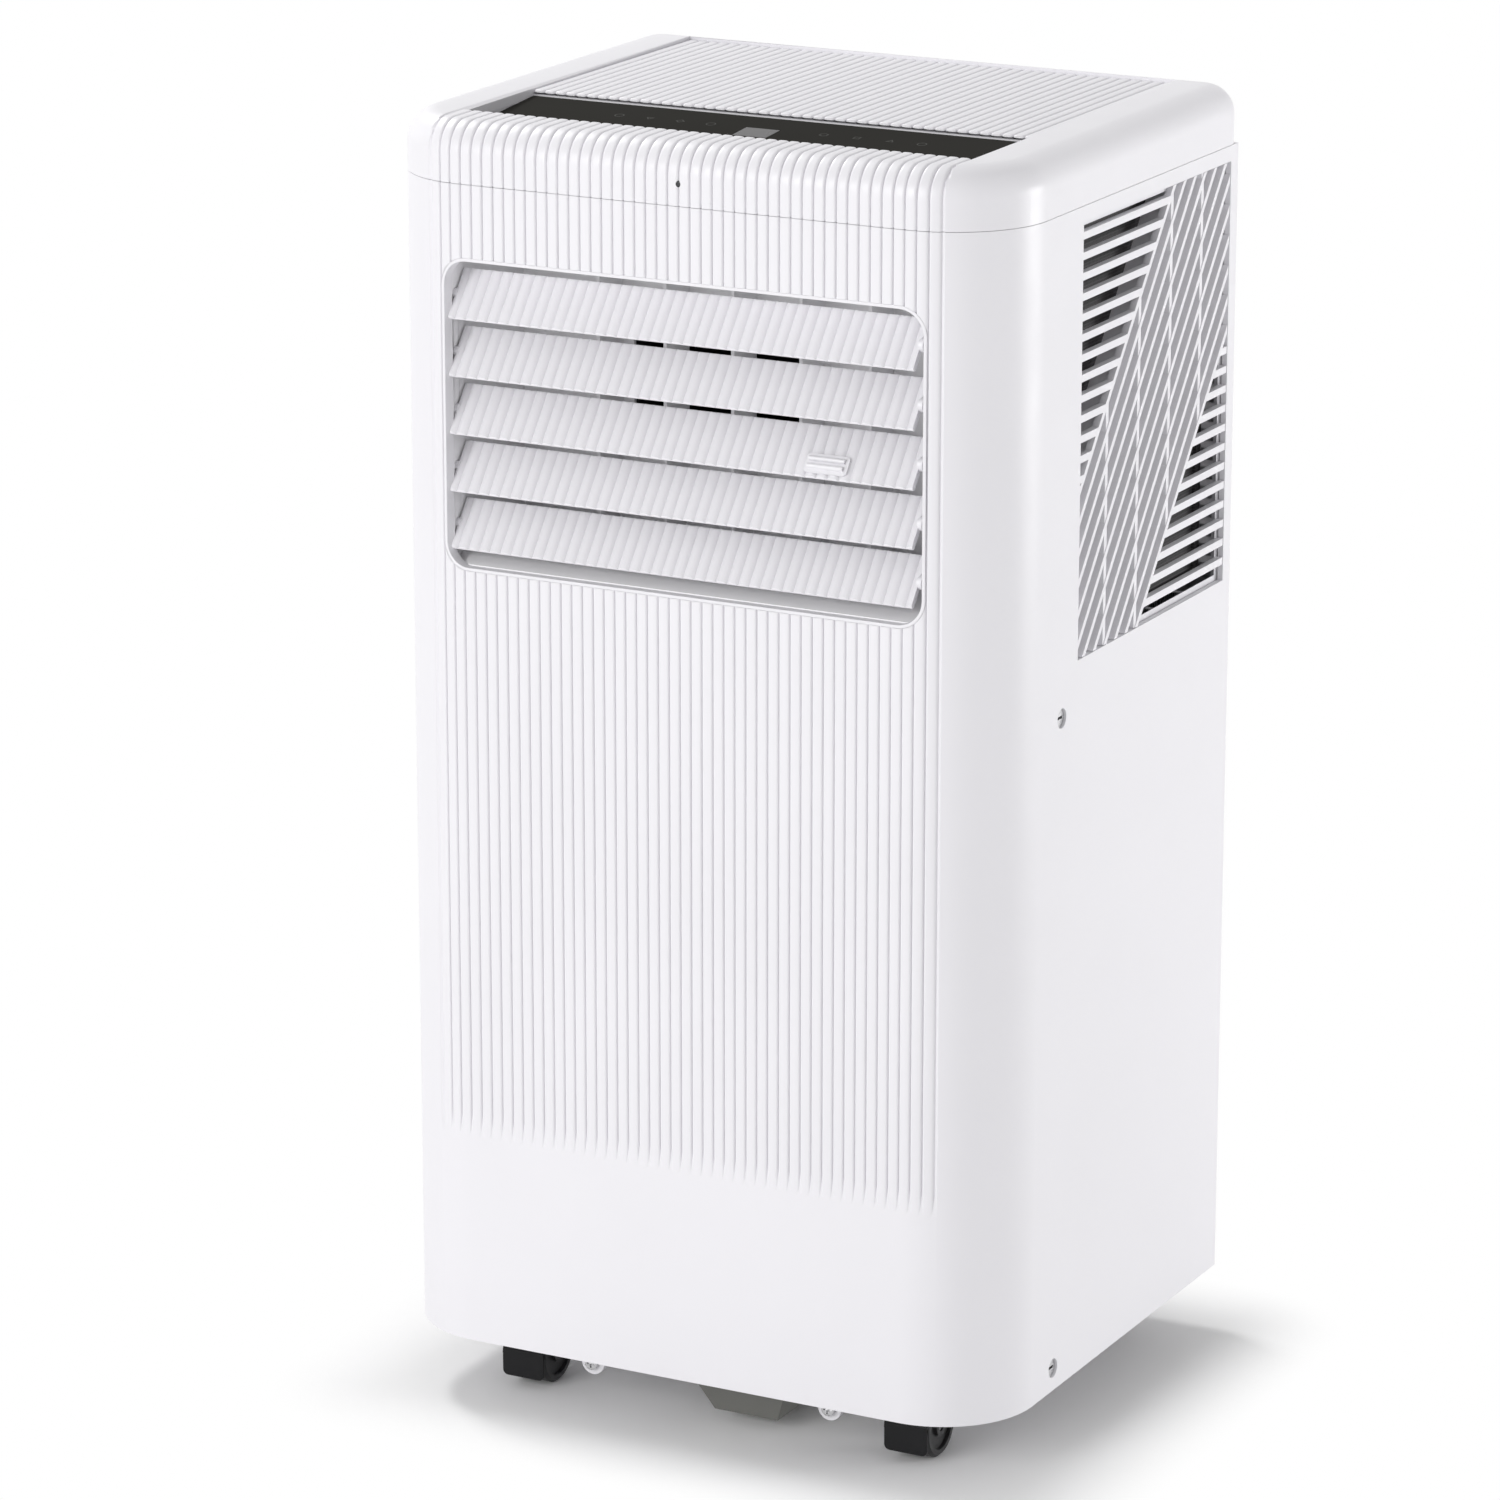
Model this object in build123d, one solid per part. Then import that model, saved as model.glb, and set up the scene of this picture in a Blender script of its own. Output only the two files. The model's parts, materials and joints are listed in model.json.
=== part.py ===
from build123d import *
import math
import os

# Portable air conditioner, in millimetres: X to the right, Y to the back, Z up, floor at Z = 0

# Cabinet
body_width = 342.0
body_depth = 285.0
body_bottom = 36.0      # lower edge of the shell above the floor
seam_height = 636.0     # joint between the shell and the top cover
body_top = 666.0
front_corner = 50.0     # plan radius of the front corners
back_corner = 18.0      # plan radius of the back corners
top_edge = 15.0         # radius over the top edge
wall = 3.0
split_inset = 8.5       # joint of the rear cover, ahead of the back face
lip_thick = 2.0         # tongues that reach into the shell
lip_reach = 4.5
fit_gap = 0.3           # gap between moulded pieces
seam_gap = 0.4          # visible joint under the top cover
running_gap = 0.05      # radial gap of a turning pin or shaft
bite = 1.0              # how far fused shapes and cutters pass each other's faces

# Round ribs on the front, the louvres and the top
rib_count = 46
rib_pitch = 6.02
rib_depth = 1.5
rib_crest = 0.05        # crest below the plain surface
rib_end = 146.0         # height where the front ribs have faded out
rib_fade = 13.0
notch_half = 1.25       # half width of a groove over the top edge
notch_rise = 0.6        # share of its depth that a groove's cutter stands proud

# Air outlet and its louvres
opening_margin = 40.5   # from each side of the cabinet
opening_bottom = 444.0
opening_height = 154.0
opening_corner = 12.5
rim_width = 2.5
louver_count = 5
louver_pitch = 29.0
louver_chord = 28.0
louver_thick = 3.0
louver_tilt = 52.0      # blade angle from level at rest
louver_inset = 12.5     # pivots behind the front face
louver_end_gap = 0.7
pivot_diameter = 5.0
crank_radius = 10.0
crank_pin = 4.0
crank_width = 7.0
crank_arm = 2.0
link_thick = 2.6
link_width = 7.0
link_slack = 0.3        # radial play of the outer link holes
tab_margin = 53.5       # middle of the thumb tab from the outlet's right end
tab_width = 23.0
tab_length = 10.0
tab_height = 3.2
tab_inset = 2.0         # from the blade's edge, and of the ridges from the tab's ends
tab_pad = 1.2
tab_corner = 2.0
tab_ridge = 2.4
tab_ridge_shares = (0.3, 0.7)
duct_wall = 2.5
duct_front = 5.0        # front edge of the duct behind the front face
duct_share = 0.272      # length of the duct as a share of the body's depth
sill_length = 37.0
sill_rise = 10.0
sill_edge = 0.5
vane_count = 5
vane_pitch = 37.5
vane_depth = 24.0
vane_thick = 2.0
vane_tie = 4.0

# Intake grille in the right side
grille_length = 176.0
grille_height = 217.0
grille_back_margin = 17.2   # from the back face
grille_top_margin = 8.0     # below the seam
grille_frame = 3.0          # overlap behind the window's edge
grille_depth = 13.0
frame_thick = 3.0
band_angle = 51.0           # slope of the diagonal bars
band_front = 84.0           # height where the band meets the front edge
band_bottom = 69.7          # length where the band meets the bottom edge
bar_pitch = 10.0
bar_thick = 2.7
slat_pitch = 10.0
slat_thick = 3.7
divider_count = 4
divider_first = 31.6
divider_pitch = 36.8
divider_thick = 3.0
band_setback = 0.4          # dividers behind the face inside the band
divider_setback = 6.0       # and beside it
filter_thick = 3.5
filter_rim = 6.0

# Top cover
lip_length = 35.5       # ribbed lip ahead of the control strip
strip_length = 69.5
strip_front_drop = 10.0
strip_back_drop = 4.5
strip_thick = 2.5
field_drop = 1.5        # ribbed field below the frame
field_back_margin = 14.5
top_thick = 5.0
trough_depth = 18.0
display_width = 19.0
display_length = 16.0
display_place = 1.5
display_back = 42.0     # middle of the display behind the lip
board_width = 140.0
board_length = 54.0
board_thick = 1.6
board_drop = 26.0       # top of the board below the top
board_setback = 3.0     # behind the lip
display_block = (24.0, 18.0)
pad_places = (-50.0, -34.0, 34.0, 50.0)
pad_diameter = 8.0
pad_height = 6.0
standoff_diameter = 6.0
standoff_inset = 7.0    # from the board's edges
sensor_diameter = 3.0
sensor_flange = 5.0
sensor_sink = 0.4
sensor_height = 11.0    # above the seam
sensor_length = 6.0

# Base, ears and sump
pan_floor = 39.0        # underside of the pan above the floor
pan_thick = 3.0
pan_wall = 2.5
pan_rim = 27.0
ear_place = 68.0
ear_radius = 6.5
ear_drop = 16.0         # ear centre below the pan
ear_inset = 30.5        # ears behind the front face
ear_thick = 4.0
ear_hole = 3.4
sump_place = 16.5
sump_inset = 24.5       # its front edge behind the front face
sump_width = 64.0
sump_length = 90.0
sump_depth = 32.0
sump_draft = 14.0
sump_wall = 2.5
sump_land = 4.0         # edge of the dish that seats under the pan

# Castors
castor_side_inset = 61.0
castor_front_inset = 42.5
castor_back_inset = 51.5
wheel_diameter = 32.0
wheel_width = 8.4
wheel_gap = 5.2         # between the two wheels
tread_bevel = 1.6
rim_thick = 4.0
hub_recess = 2.0
web_thick = 4.4
web_inset = 2.0
hood_gap = 1.0
hood_thick = 2.0
hood_width = 24.0
hood_edge = 2.0         # lower edge of the hood above the axle
castor_trail = 8.0
stem_diameter = 8.0
stem_length = 30.0
boss_diameter = 22.0
axle_diameter = 5.0

# Screws
screw_head = 8.0
screw_hole = 10.0
screw_cup = 14.0
screw_depth = 8.0
screw_slot = 1.2
screw_setback = 74.5    # behind the front face
low_screw_rise = 9.0    # above the base pan
high_screw_rise = 41.0  # above the deck
ear_screw_head = 7.0
ear_screw_rise = 2.4
ear_screw_shank = 3.2
ear_screw_length = 12.0

# Air and refrigerant works
deck_height = 342.0
deck_thick = 3.0
deck_rim_height = 14.0
deck_rim_thick = 2.0
deck_rim_gap = 4.0      # between the deck's rim and the evaporator
scroll_share = 0.3228   # radius of the fan housings as a share of the body's depth
scroll_wall = 2.0
fan_share = 0.76        # fan wheel as a share of the housing's diameter
fan_inset = 8.0         # wheel from the housing's ends
fan_plate = 2.0
fan_blades = 24
blade_length = 16.0
blade_thick = 1.6
blade_pitch = 25.0
blade_inset = 1.5       # blade tips from the wheel's edges
hub_diameter = 18.0
hub_length = 22.0
shaft_diameter = 8.0
shaft_hole = 12.0
shaft_root = 6.0
inlet_share = 0.786     # inlet as a share of the fan wheel
blower_shares = (-0.2047, 0.0819)   # ends of the blower as shares of the body's width
blower_axis_share = 0.1228          # its axis behind the middle as a share of the body's depth
blower_drop = 42.0                  # its axis below the middle of the outlet
blower_outlet = 80.0
blower_motor_length = 36.0
exhaust_shares = (-0.0234, 0.3684)  # ends of the exhaust fan as shares of the body's width
exhaust_rise = 148.0                # its axis above the pan
exhaust_outlet = 136.0
exhaust_motor_length = 34.0
leg_inset = 6.0
leg_thick = 4.0
leg_half = 40.0
leg_lap = 12.0
motor_diameter = 78.0
motor_bevel = 3.0
motor_nose = 6.0
motor_arms = 3
motor_arm = (4.0, 14.0, 16.0)
hose_bore = 125.0
collar_thick = 2.5
collar_length = 30.0
collar_flange = 144.0
collar_sink = 0.5
rear_window_side = 31.0     # from the left side
rear_window_share = -0.0643     # its right end as a share of the body's width
rear_window_rise = 38.0         # above the pan
rear_slat_pitch = 14.0
rear_slat_thick = 1.8
rear_slat_depth = 7.0
rear_slat_tilt = 35.0
rear_frame = 7.0
rear_depth = 8.0
rear_bar = 3.0
rear_bar_setback = 2.0
rear_bays = 3
coil_thick = 22.0
coil_fin_pitch = 5.0
coil_slot = 3.0
coil_slot_depth = 2.5
coil_plate = 6.0
coil_tube = 9.0
coil_rows = 5
evaporator_side = 43.0      # its inner face from the right side
evaporator_margin = (2.7, 13.3)     # inside the side grille's length, front and back
evaporator_top_gap = 11.0   # below the seam
condenser_back = 38.5       # its front face from the back
condenser_gap = 24.0        # under the deck
compressor_place_share = (-0.2485, -0.0175)     # shares of the body's width and depth
compressor_share = 0.3275   # diameter as a share of the body's width
compressor_gap = 80.0       # its top below the deck
compressor_foot = 12.0
dome_share = 0.35           # round of the dome as a share of the radius
skirt_share = 0.7           # lower can as a share of the diameter
skirt_height = 30.0
foot_plate = 3.0
foot_reach = 8.0            # feet outside the can
foot_plate_reach = 30.0
foot_plate_corner = 16.0
foot_hole = 7.0
foot_count = 3
foot_diameter = 20.0
foot_groove = (4.0, 3.0, 3.0)   # rise, height and depth of the groove round a foot
accumulator_diameter = 44.0
accumulator_height = 130.0
accumulator_lap = 3.0
accumulator_drop = 20.0
accumulator_round = 10.0
accumulator_link = 14.0
pipe_diameter = 9.6
pipe_bend = 22.0
pipe_run = 5.0              # straight run between a bend and the piece that it leaves
pipe_hole_gap = 2.0
discharge_offset = 30.0
electrical_size = (50.0, 66.0, 135.0)
electrical_inset = (35.0, 56.5)     # middle from the left side and from the back
box_corner = 6.0
lid_reach = 3.0
lid_thick = 4.0
capacitor_diameter = 40.0
capacitor_height = 72.0
capacitor_share = 0.1901    # its place as a share of the body's width
capacitor_gap = 3.2         # behind the suction pipe
capacitor_bevel = 3.0
capacitor_tab = (6.0, 1.0, 8.0)
capacitor_tab_place = 8.0
gland_inset = 31.0          # from the right side
gland_rise = 42.0           # above the pan
gland_diameter = 16.0
gland_bore = 9.0
gland_flange = 22.0
gland_flange_thick = 3.0
gland_length = 14.0
gland_sink = 0.4
drain_rise = 14.0           # above the pan
drain_diameter = 16.0
drain_wall = 2.0
spout_length = 20.0
plug_length = 21.0
plug_sink = 1.0
plug_rings = (12.0, 18.0)   # inside the back face
plug_ring = 2.0

# Places that follow from the sizes above
half_width = body_width / 2
front_y = -body_depth / 2
back_y = body_depth / 2
split_y = back_y - split_inset
rib_half = rib_count * rib_pitch / 2
opening_width = body_width - 2 * opening_margin
tab_place = opening_width / 2 - tab_margin
opening_top = opening_bottom + opening_height
opening_middle = opening_bottom + opening_height / 2
pivot_y = front_y + louver_inset
lip_y = front_y + lip_length
strip_back_y = lip_y + strip_length
strip_run = (strip_front_drop - strip_back_drop) / strip_length
field_back_y = back_y - field_back_margin
grille_y0 = back_y - grille_back_margin - grille_length
grille_y1 = back_y - grille_back_margin
grille_z1 = seam_height - grille_top_margin
grille_z0 = grille_z1 - grille_height
deck_top = deck_height + deck_thick
pan_top = pan_floor + pan_thick
castor_x = half_width - castor_side_inset
castor_y = (front_y + castor_front_inset, back_y - castor_back_inset)
screw_y = front_y + screw_setback
screw_heights = (pan_floor + low_screw_rise, deck_top + high_screw_rise)
drain_height = pan_top + drain_rise
gland_place = (half_width - gland_inset, pan_top + gland_rise)
scroll_radius = body_depth * scroll_share
fan_diameter = 2 * scroll_radius * fan_share
inlet_diameter = fan_diameter * inlet_share
blower_x = tuple(body_width * share for share in blower_shares)
blower_axis = (body_depth * blower_axis_share, opening_middle - blower_drop)
exhaust_x = tuple(body_width * share for share in exhaust_shares)
exhaust_axis = (0.0, pan_top + exhaust_rise)
exhaust_middle = (exhaust_x[0] + exhaust_x[1]) / 2
exhaust_height = exhaust_axis[1] + scroll_radius - exhaust_outlet / 2
duct_back = front_y + duct_front + body_depth * duct_share
condenser_top = deck_height - condenser_gap
rear_window = (
    rear_window_side - half_width, body_width * rear_window_share, pan_top + rear_window_rise, condenser_top)
condenser_x = (rear_window[0], rear_window[1])
condenser_y = (back_y - condenser_back, back_y - condenser_back + coil_thick)
evaporator_x = (half_width - evaporator_side, half_width - evaporator_side + coil_thick)
evaporator_y = (grille_y0 + evaporator_margin[0], grille_y1 - evaporator_margin[1])
evaporator_top = seam_height - evaporator_top_gap
compressor_place = (body_width * compressor_place_share[0], body_depth * compressor_place_share[1])
compressor_diameter = body_width * compressor_share
compressor_base = pan_top + compressor_foot
compressor_height = deck_height - compressor_gap - compressor_base - foot_plate
foot_circle = compressor_diameter + 2 * foot_reach
accumulator_top = compressor_base + compressor_height - accumulator_drop
electrical_place = (electrical_inset[0] - half_width, back_y - electrical_inset[1])
suction_gap = compressor_diameter / 2 + accumulator_diameter / 2 - accumulator_lap
suction_place = (compressor_place[0], compressor_place[1] + suction_gap)
capacitor_y = suction_place[1] + pipe_diameter / 2 + capacitor_gap + capacitor_diameter / 2
capacitor_place = (body_width * capacitor_share, capacitor_y)
reach = 400.0           # longer than any cut needs


def block(x0, x1, y0, y1, z0, z1):
    """Box between two corners."""
    return Pos((x0 + x1) / 2, (y0 + y1) / 2, (z0 + z1) / 2) * Box(abs(x1 - x0), abs(y1 - y0), abs(z1 - z0))


def rod_x(diameter, x0, x1, y, z):
    """Round bar along X."""
    return Pos((x0 + x1) / 2, y, z) * Rot(0, 90, 0) * Cylinder(diameter / 2, abs(x1 - x0))


def rod_y(diameter, y0, y1, x, z):
    """Round bar along Y."""
    return Pos(x, (y0 + y1) / 2, z) * Rot(90, 0, 0) * Cylinder(diameter / 2, abs(y1 - y0))


def rod_z(diameter, z0, z1, x, y):
    """Round bar along Z."""
    return Pos(x, y, (z0 + z1) / 2) * Cylinder(diameter / 2, abs(z1 - z0))


def body_outline(inset=0.0):
    """Plan of the cabinet, moved inwards by inset."""
    half = half_width - inset
    plan = Polygon(
        (-half, front_y + inset), (half, front_y + inset),
        (half, back_y - inset), (-half, back_y - inset), align=None)
    plan = fillet(plan.vertices().group_by(Axis.Y)[0], front_corner - inset)
    return fillet(plan.vertices().group_by(Axis.Y)[-1], back_corner - inset)


def prism(face, z0, z1):
    """Plan face raised from z0 to z1."""
    return Pos(0, 0, z0) * extrude(face, amount=z1 - z0, dir=(0, 0, 1))


def band(outer_inset, inner_inset, z0, z1):
    """Upright wall that follows the cabinet's plan."""
    return prism(body_outline(outer_inset), z0, z1) - prism(body_outline(inner_inset), z0, z1)


def front_surface(x):
    """Y of the cabinet's front at x, round corners included."""
    past_flat = abs(x) - (half_width - front_corner)
    if past_flat <= 0:
        return front_y
    return front_y + front_corner - math.sqrt(front_corner ** 2 - past_flat ** 2)


def rib_x(index):
    """Place of a groove between two ribs."""
    return index * rib_pitch - rib_half


def rib_face(surface, outside):
    """Area to cut away above a row of round ribs whose crests follow surface(x)."""
    edges = []
    for index in range(rib_count):
        x0 = rib_x(index)
        x1 = rib_x(index + 1)
        middle = (x0 + x1) / 2
        edges.append(ThreePointArc(
            (x0, surface(x0) + rib_depth),
            (middle, surface(middle) + rib_crest),
            (x1, surface(x1) + rib_depth)))
    end = surface(rib_half) + rib_depth
    edges += Polyline((rib_half, end), (rib_half, outside), (-rib_half, outside), (-rib_half, end)).edges()
    return make_face(edges)


def front_rib_cut():
    """Cutter for the ribs of the front, fading out at their lower end."""
    cut = prism(rib_face(front_surface, front_y - rib_depth), rib_end, seam_height + rib_depth)
    ramp = loft([
        Pos(0, 0, rib_end) * body_outline(),
        Pos(0, 0, rib_end + rib_fade) * body_outline(rib_depth + rib_crest)], ruled=True)
    return cut - ramp


def edge_groove(x):
    """Groove that runs up the top cover's front, over its edge and back to the control strip."""
    y = front_surface(x)
    low = (x, y, seam_height - wall)
    rise = (x, y, body_top - top_edge)
    over = (x, y + top_edge, body_top)
    path = Line(low, rise) + RadiusArc(rise, over, top_edge) + Line(over, (x, lip_y + wall, body_top))
    spread = notch_half * (1 + notch_rise)
    proud = -rib_depth * notch_rise
    section = Plane(low) * Polygon((0, rib_depth), (spread, proud), (-spread, proud), align=None)
    return sweep(section, path=path)


def make_front_shell():
    """Front and both sides in one moulding."""
    shell = band(0, wall, body_bottom, seam_height)
    shell &= block(-reach, reach, -reach, split_y, 0, body_top)
    shell -= front_rib_cut()
    plane = Plane((0, front_y, opening_middle), x_dir=(1, 0, 0), z_dir=(0, -1, 0))
    rim = RectangleRounded(
        opening_width + 2 * rim_width, opening_height + 2 * rim_width, opening_corner + rim_width)
    hole = RectangleRounded(opening_width, opening_height, opening_corner)
    shell += extrude(plane * rim, amount=-wall)
    shell -= extrude(plane * hole, amount=-front_corner)
    shell -= block(0, reach, grille_y0, grille_y1, grille_z0, grille_z1)
    for side in (-1, 1):
        face = side * half_width
        for height in screw_heights:
            shell += rod_x(
                screw_cup, face - side * (screw_depth + wall), face - side * wall / 2, screw_y, height)
            shell -= rod_x(screw_hole, face - side * screw_depth, face + side * wall, screw_y, height)
    return shell


def make_shell_screws():
    """Screws in the side recesses."""
    screws = []
    for side in (-1, 1):
        seat = side * (half_width - screw_depth)
        for height in screw_heights:
            head = rod_x(screw_head, seat, seat + side * wall, screw_y, height)
            head -= block(
                seat + side * wall / 2, seat + side * 2 * wall, screw_y - screw_head / 3,
                screw_y + screw_head / 3, height - screw_slot / 2, height + screw_slot / 2)
            screws.append(head)
    return Compound(screws)


def make_side_grille():
    """Intake panel: a diagonal band of bars between level slats."""
    length = grille_length - 2 * fit_gap
    height = grille_height - 2 * fit_gap
    middle = Pos(length / 2, height / 2)
    field = middle * Rectangle(length, height)
    direction = (math.cos(math.radians(band_angle)), math.sin(math.radians(band_angle)))
    normal = (direction[1], -direction[0])
    far = 2 * height / direction[1]
    low = normal[1] * band_front
    high = normal[0] * band_bottom
    corners = []
    for offset, along in ((low, -far), (high, -far), (high, far), (low, far)):
        corners.append((
            normal[0] * offset + direction[0] * along, normal[1] * offset + direction[1] * along))
    strip = Polygon(*corners, align=None) & field
    bars = Sketch()
    count = round((high - low) / bar_pitch)
    for index in range(count + 1):
        offset = low + (high - low) * index / count
        bar = Rot(0, 0, band_angle) * Rectangle(2 * far, bar_thick)
        bars += Pos(normal[0] * offset, normal[1] * offset) * bar
    slats = Sketch()
    for index in range(1, int(height / slat_pitch) + 1):
        slats += Pos(length / 2, index * slat_pitch) * Rectangle(length, slat_thick)
    dividers = Sketch()
    for index in range(divider_count):
        dividers += Pos(divider_first + index * divider_pitch, height / 2) * Rectangle(divider_thick, height)
    outer_rim = Rectangle(length + 2 * grille_frame, height + 2 * grille_frame)
    inner_rim = Rectangle(length - 2 * bar_thick, height - 2 * bar_thick)
    front_lattice = (bars & field) + (slats - strip)
    plane = Plane((0, grille_y0 + fit_gap, grille_z0 + fit_gap), x_dir=(0, 1, 0), z_dir=(1, 0, 0))
    face_x = half_width - fit_gap
    inner = Pos(face_x - grille_depth, 0, 0)
    grille = inner * extrude(plane * front_lattice, amount=grille_depth)
    grille += inner * extrude(plane * (dividers & strip), amount=grille_depth - band_setback)
    grille += inner * extrude(plane * dividers, amount=grille_depth - divider_setback)
    flange_x = half_width - wall - 2 * fit_gap - frame_thick
    grille += Pos(flange_x, 0, 0) * extrude(plane * (middle * (outer_rim - inner_rim)), amount=frame_thick)
    return grille


def make_side_filter():
    """Frame and mesh pad behind the side grille."""
    x1 = half_width - fit_gap - grille_depth - fit_gap
    x0 = x1 - filter_thick
    pad = block(x0, x1, grille_y0, grille_y1, grille_z0, grille_z1)
    hollow = block(
        x0 + filter_thick / 2, x1 + wall, grille_y0 + filter_rim, grille_y1 - filter_rim,
        grille_z0 + filter_rim, grille_z1 - filter_rim)
    return pad - hollow


def make_rear_cover():
    """Back panel with the exhaust hole, the intake window, the drain and the cord inlet."""
    back = band(0, wall, body_bottom, seam_height) & block(
        -reach, reach, split_y + fit_gap, reach, 0, body_top)
    back += prism(body_outline(), body_bottom, seam_height) & block(
        -reach, reach, back_y - wall, reach, 0, body_top)
    low = body_bottom + pan_rim + pan_thick + 2 * fit_gap
    high = seam_height - lip_reach - fit_gap
    inner = wall + fit_gap + lip_thick
    sides = block(-reach, reach, split_y - lip_reach, split_y + lip_reach, low, high)
    sides -= block(
        back_corner - half_width, half_width - back_corner, -reach, reach, 0, body_top)
    back += band(wall + fit_gap, inner, low, high) & sides
    back += band(wall / 2, inner, low, high) & sides & block(
        -reach, reach, split_y + 2 * fit_gap, reach, 0, body_top)
    back -= rod_y(hose_bore + 2 * collar_thick + 2 * fit_gap, 0, reach, exhaust_middle, exhaust_height)
    x0, x1, z0, z1 = rear_window
    back -= block(x0, x1, 0, reach, z0, z1)
    back -= rod_y(drain_diameter + 2 * fit_gap, 0, reach, sump_place, drain_height)
    back -= rod_y(gland_diameter, 0, reach, gland_place[0], gland_place[1])
    return back


def make_rear_grille():
    """Pull-out intake panel of level slats in a frame, with a finger recess."""
    x0, x1, z0, z1 = rear_window
    x0 += fit_gap
    x1 -= fit_gap
    z0 += fit_gap
    z1 -= fit_gap
    inner = back_y - rear_depth
    panel = block(x0, x1, inner, back_y, z0, z1)
    panel -= block(x0 + rear_frame, x1 - rear_frame, 0, reach, z0 + rear_frame, z1 - rear_frame)
    height = z1 - z0 - 2 * rear_frame
    count = round(height / rear_slat_pitch)
    slat = Rot(rear_slat_tilt, 0, 0) * Box(x1 - x0 - rear_frame, rear_slat_depth, rear_slat_thick)
    for index in range(count):
        z = z0 + rear_frame + height * (index + 0.5) / count
        panel += Pos((x0 + x1) / 2, back_y - rear_depth / 2, z) * slat
    for index in range(1, rear_bays):
        x = x0 + (x1 - x0) * index / rear_bays
        panel += block(
            x - rear_bar / 2, x + rear_bar / 2, inner, back_y - rear_bar_setback, z0 + bite, z1 - bite)
    return panel


def make_top_cover():
    """Top moulding with ribs over the front edge, a trough for the control strip and a ribbed field."""
    low = seam_height + seam_gap
    cover = prism(body_outline(), low, body_top)
    cover = fillet(cover.edges().group_by(Axis.Z)[-1], top_edge)
    hollow = prism(body_outline(wall), low - wall, body_top - top_thick)
    cover -= fillet(hollow.edges().group_by(Axis.Z)[-1], top_edge - wall)
    cover += block(
        -rib_half - wall, rib_half + wall, lip_y - wall, strip_back_y + wall,
        body_top - trough_depth, body_top - top_thick + bite)
    tongue_top = low + lip_reach
    cover += band(wall + fit_gap, wall + fit_gap + lip_thick, seam_height - lip_reach, tongue_top)
    cover += band(wall - bite, wall + fit_gap + lip_thick, low + bite, tongue_top)
    pocket = Plane.YZ * Polygon(
        (lip_y, body_top - strip_front_drop - strip_thick),
        (strip_back_y, body_top - strip_back_drop - strip_thick),
        (strip_back_y, body_top + wall), (lip_y, body_top + wall), align=None)
    cover -= extrude(pocket, amount=rib_half, both=True)
    field_plane = Plane((0, strip_back_y - bite, 0), x_dir=(1, 0, 0), z_dir=(0, 1, 0))
    field = field_plane * rib_face(lambda x: field_drop - body_top, -body_top - wall)
    cover -= extrude(field, amount=field_back_y - strip_back_y + bite)
    cover -= [edge_groove(rib_x(index)) for index in range(rib_count + 1)]
    sensor_z = seam_height + sensor_height
    cover -= rod_y(sensor_diameter + fit_gap, front_y - wall, front_y + 2 * wall, 0, sensor_z)
    board_y = lip_y + board_setback
    for side in (-1, 1):
        for y in (board_y + standoff_inset, board_y + board_length - standoff_inset):
            cover += rod_z(
                standoff_diameter, body_top - board_drop, body_top - trough_depth + bite,
                side * (board_width / 2 - standoff_inset), y)
    return cover


def strip_plate(x0, x1, y0, y1):
    """Piece of the sloping control strip."""
    z0 = body_top - strip_front_drop + strip_run * (y0 - lip_y)
    z1 = body_top - strip_front_drop + strip_run * (y1 - lip_y)
    side = Plane.YZ * Polygon(
        (y0, z0 - strip_thick), (y1, z1 - strip_thick), (y1, z1), (y0, z0), align=None)
    return Pos(x0, 0, 0) * extrude(side, amount=x1 - x0, dir=(1, 0, 0))


def make_control_panel():
    """Black touch strip with a display cut-out."""
    panel = strip_plate(
        -rib_half + fit_gap, rib_half - fit_gap, lip_y + fit_gap, strip_back_y - fit_gap)
    y = lip_y + display_back
    return panel - block(
        display_place - display_width / 2, display_place + display_width / 2,
        y - display_length / 2, y + display_length / 2, 0, reach * 2)


def make_display_window():
    """Grey window of the display."""
    y = lip_y + display_back
    half_x = display_width / 2 - fit_gap
    half_y = display_length / 2 - fit_gap
    return strip_plate(display_place - half_x, display_place + half_x, y - half_y, y + half_y)


def make_control_board():
    """Circuit board under the strip, with its display block and touch pads."""
    z1 = body_top - board_drop
    y0 = lip_y + board_setback
    board = block(-board_width / 2, board_width / 2, y0, y0 + board_length, z1 - board_thick, z1)
    y = lip_y + display_back
    half_x = display_block[0] / 2
    half_y = display_block[1] / 2
    low = z1 - board_thick / 2
    high = z1 + pad_height
    board += block(display_place - half_x, display_place + half_x, y - half_y, y + half_y, low, high)
    for x in pad_places:
        board += rod_z(pad_diameter, low, high, x, y0 + board_length / 2)
    return board


def make_sensor_lens():
    """Small dark lens in the front of the top cover."""
    z = seam_height + sensor_height
    lens = rod_y(sensor_diameter, front_y + sensor_sink, front_y + sensor_length, 0, z)
    return lens + rod_y(sensor_flange, front_y + wall + fit_gap, front_y + sensor_length, 0, z)


def louver_height(index):
    """Pivot height of a louvre, counted from the lowest."""
    return opening_middle + (index - (louver_count - 1) / 2) * louver_pitch


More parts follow.
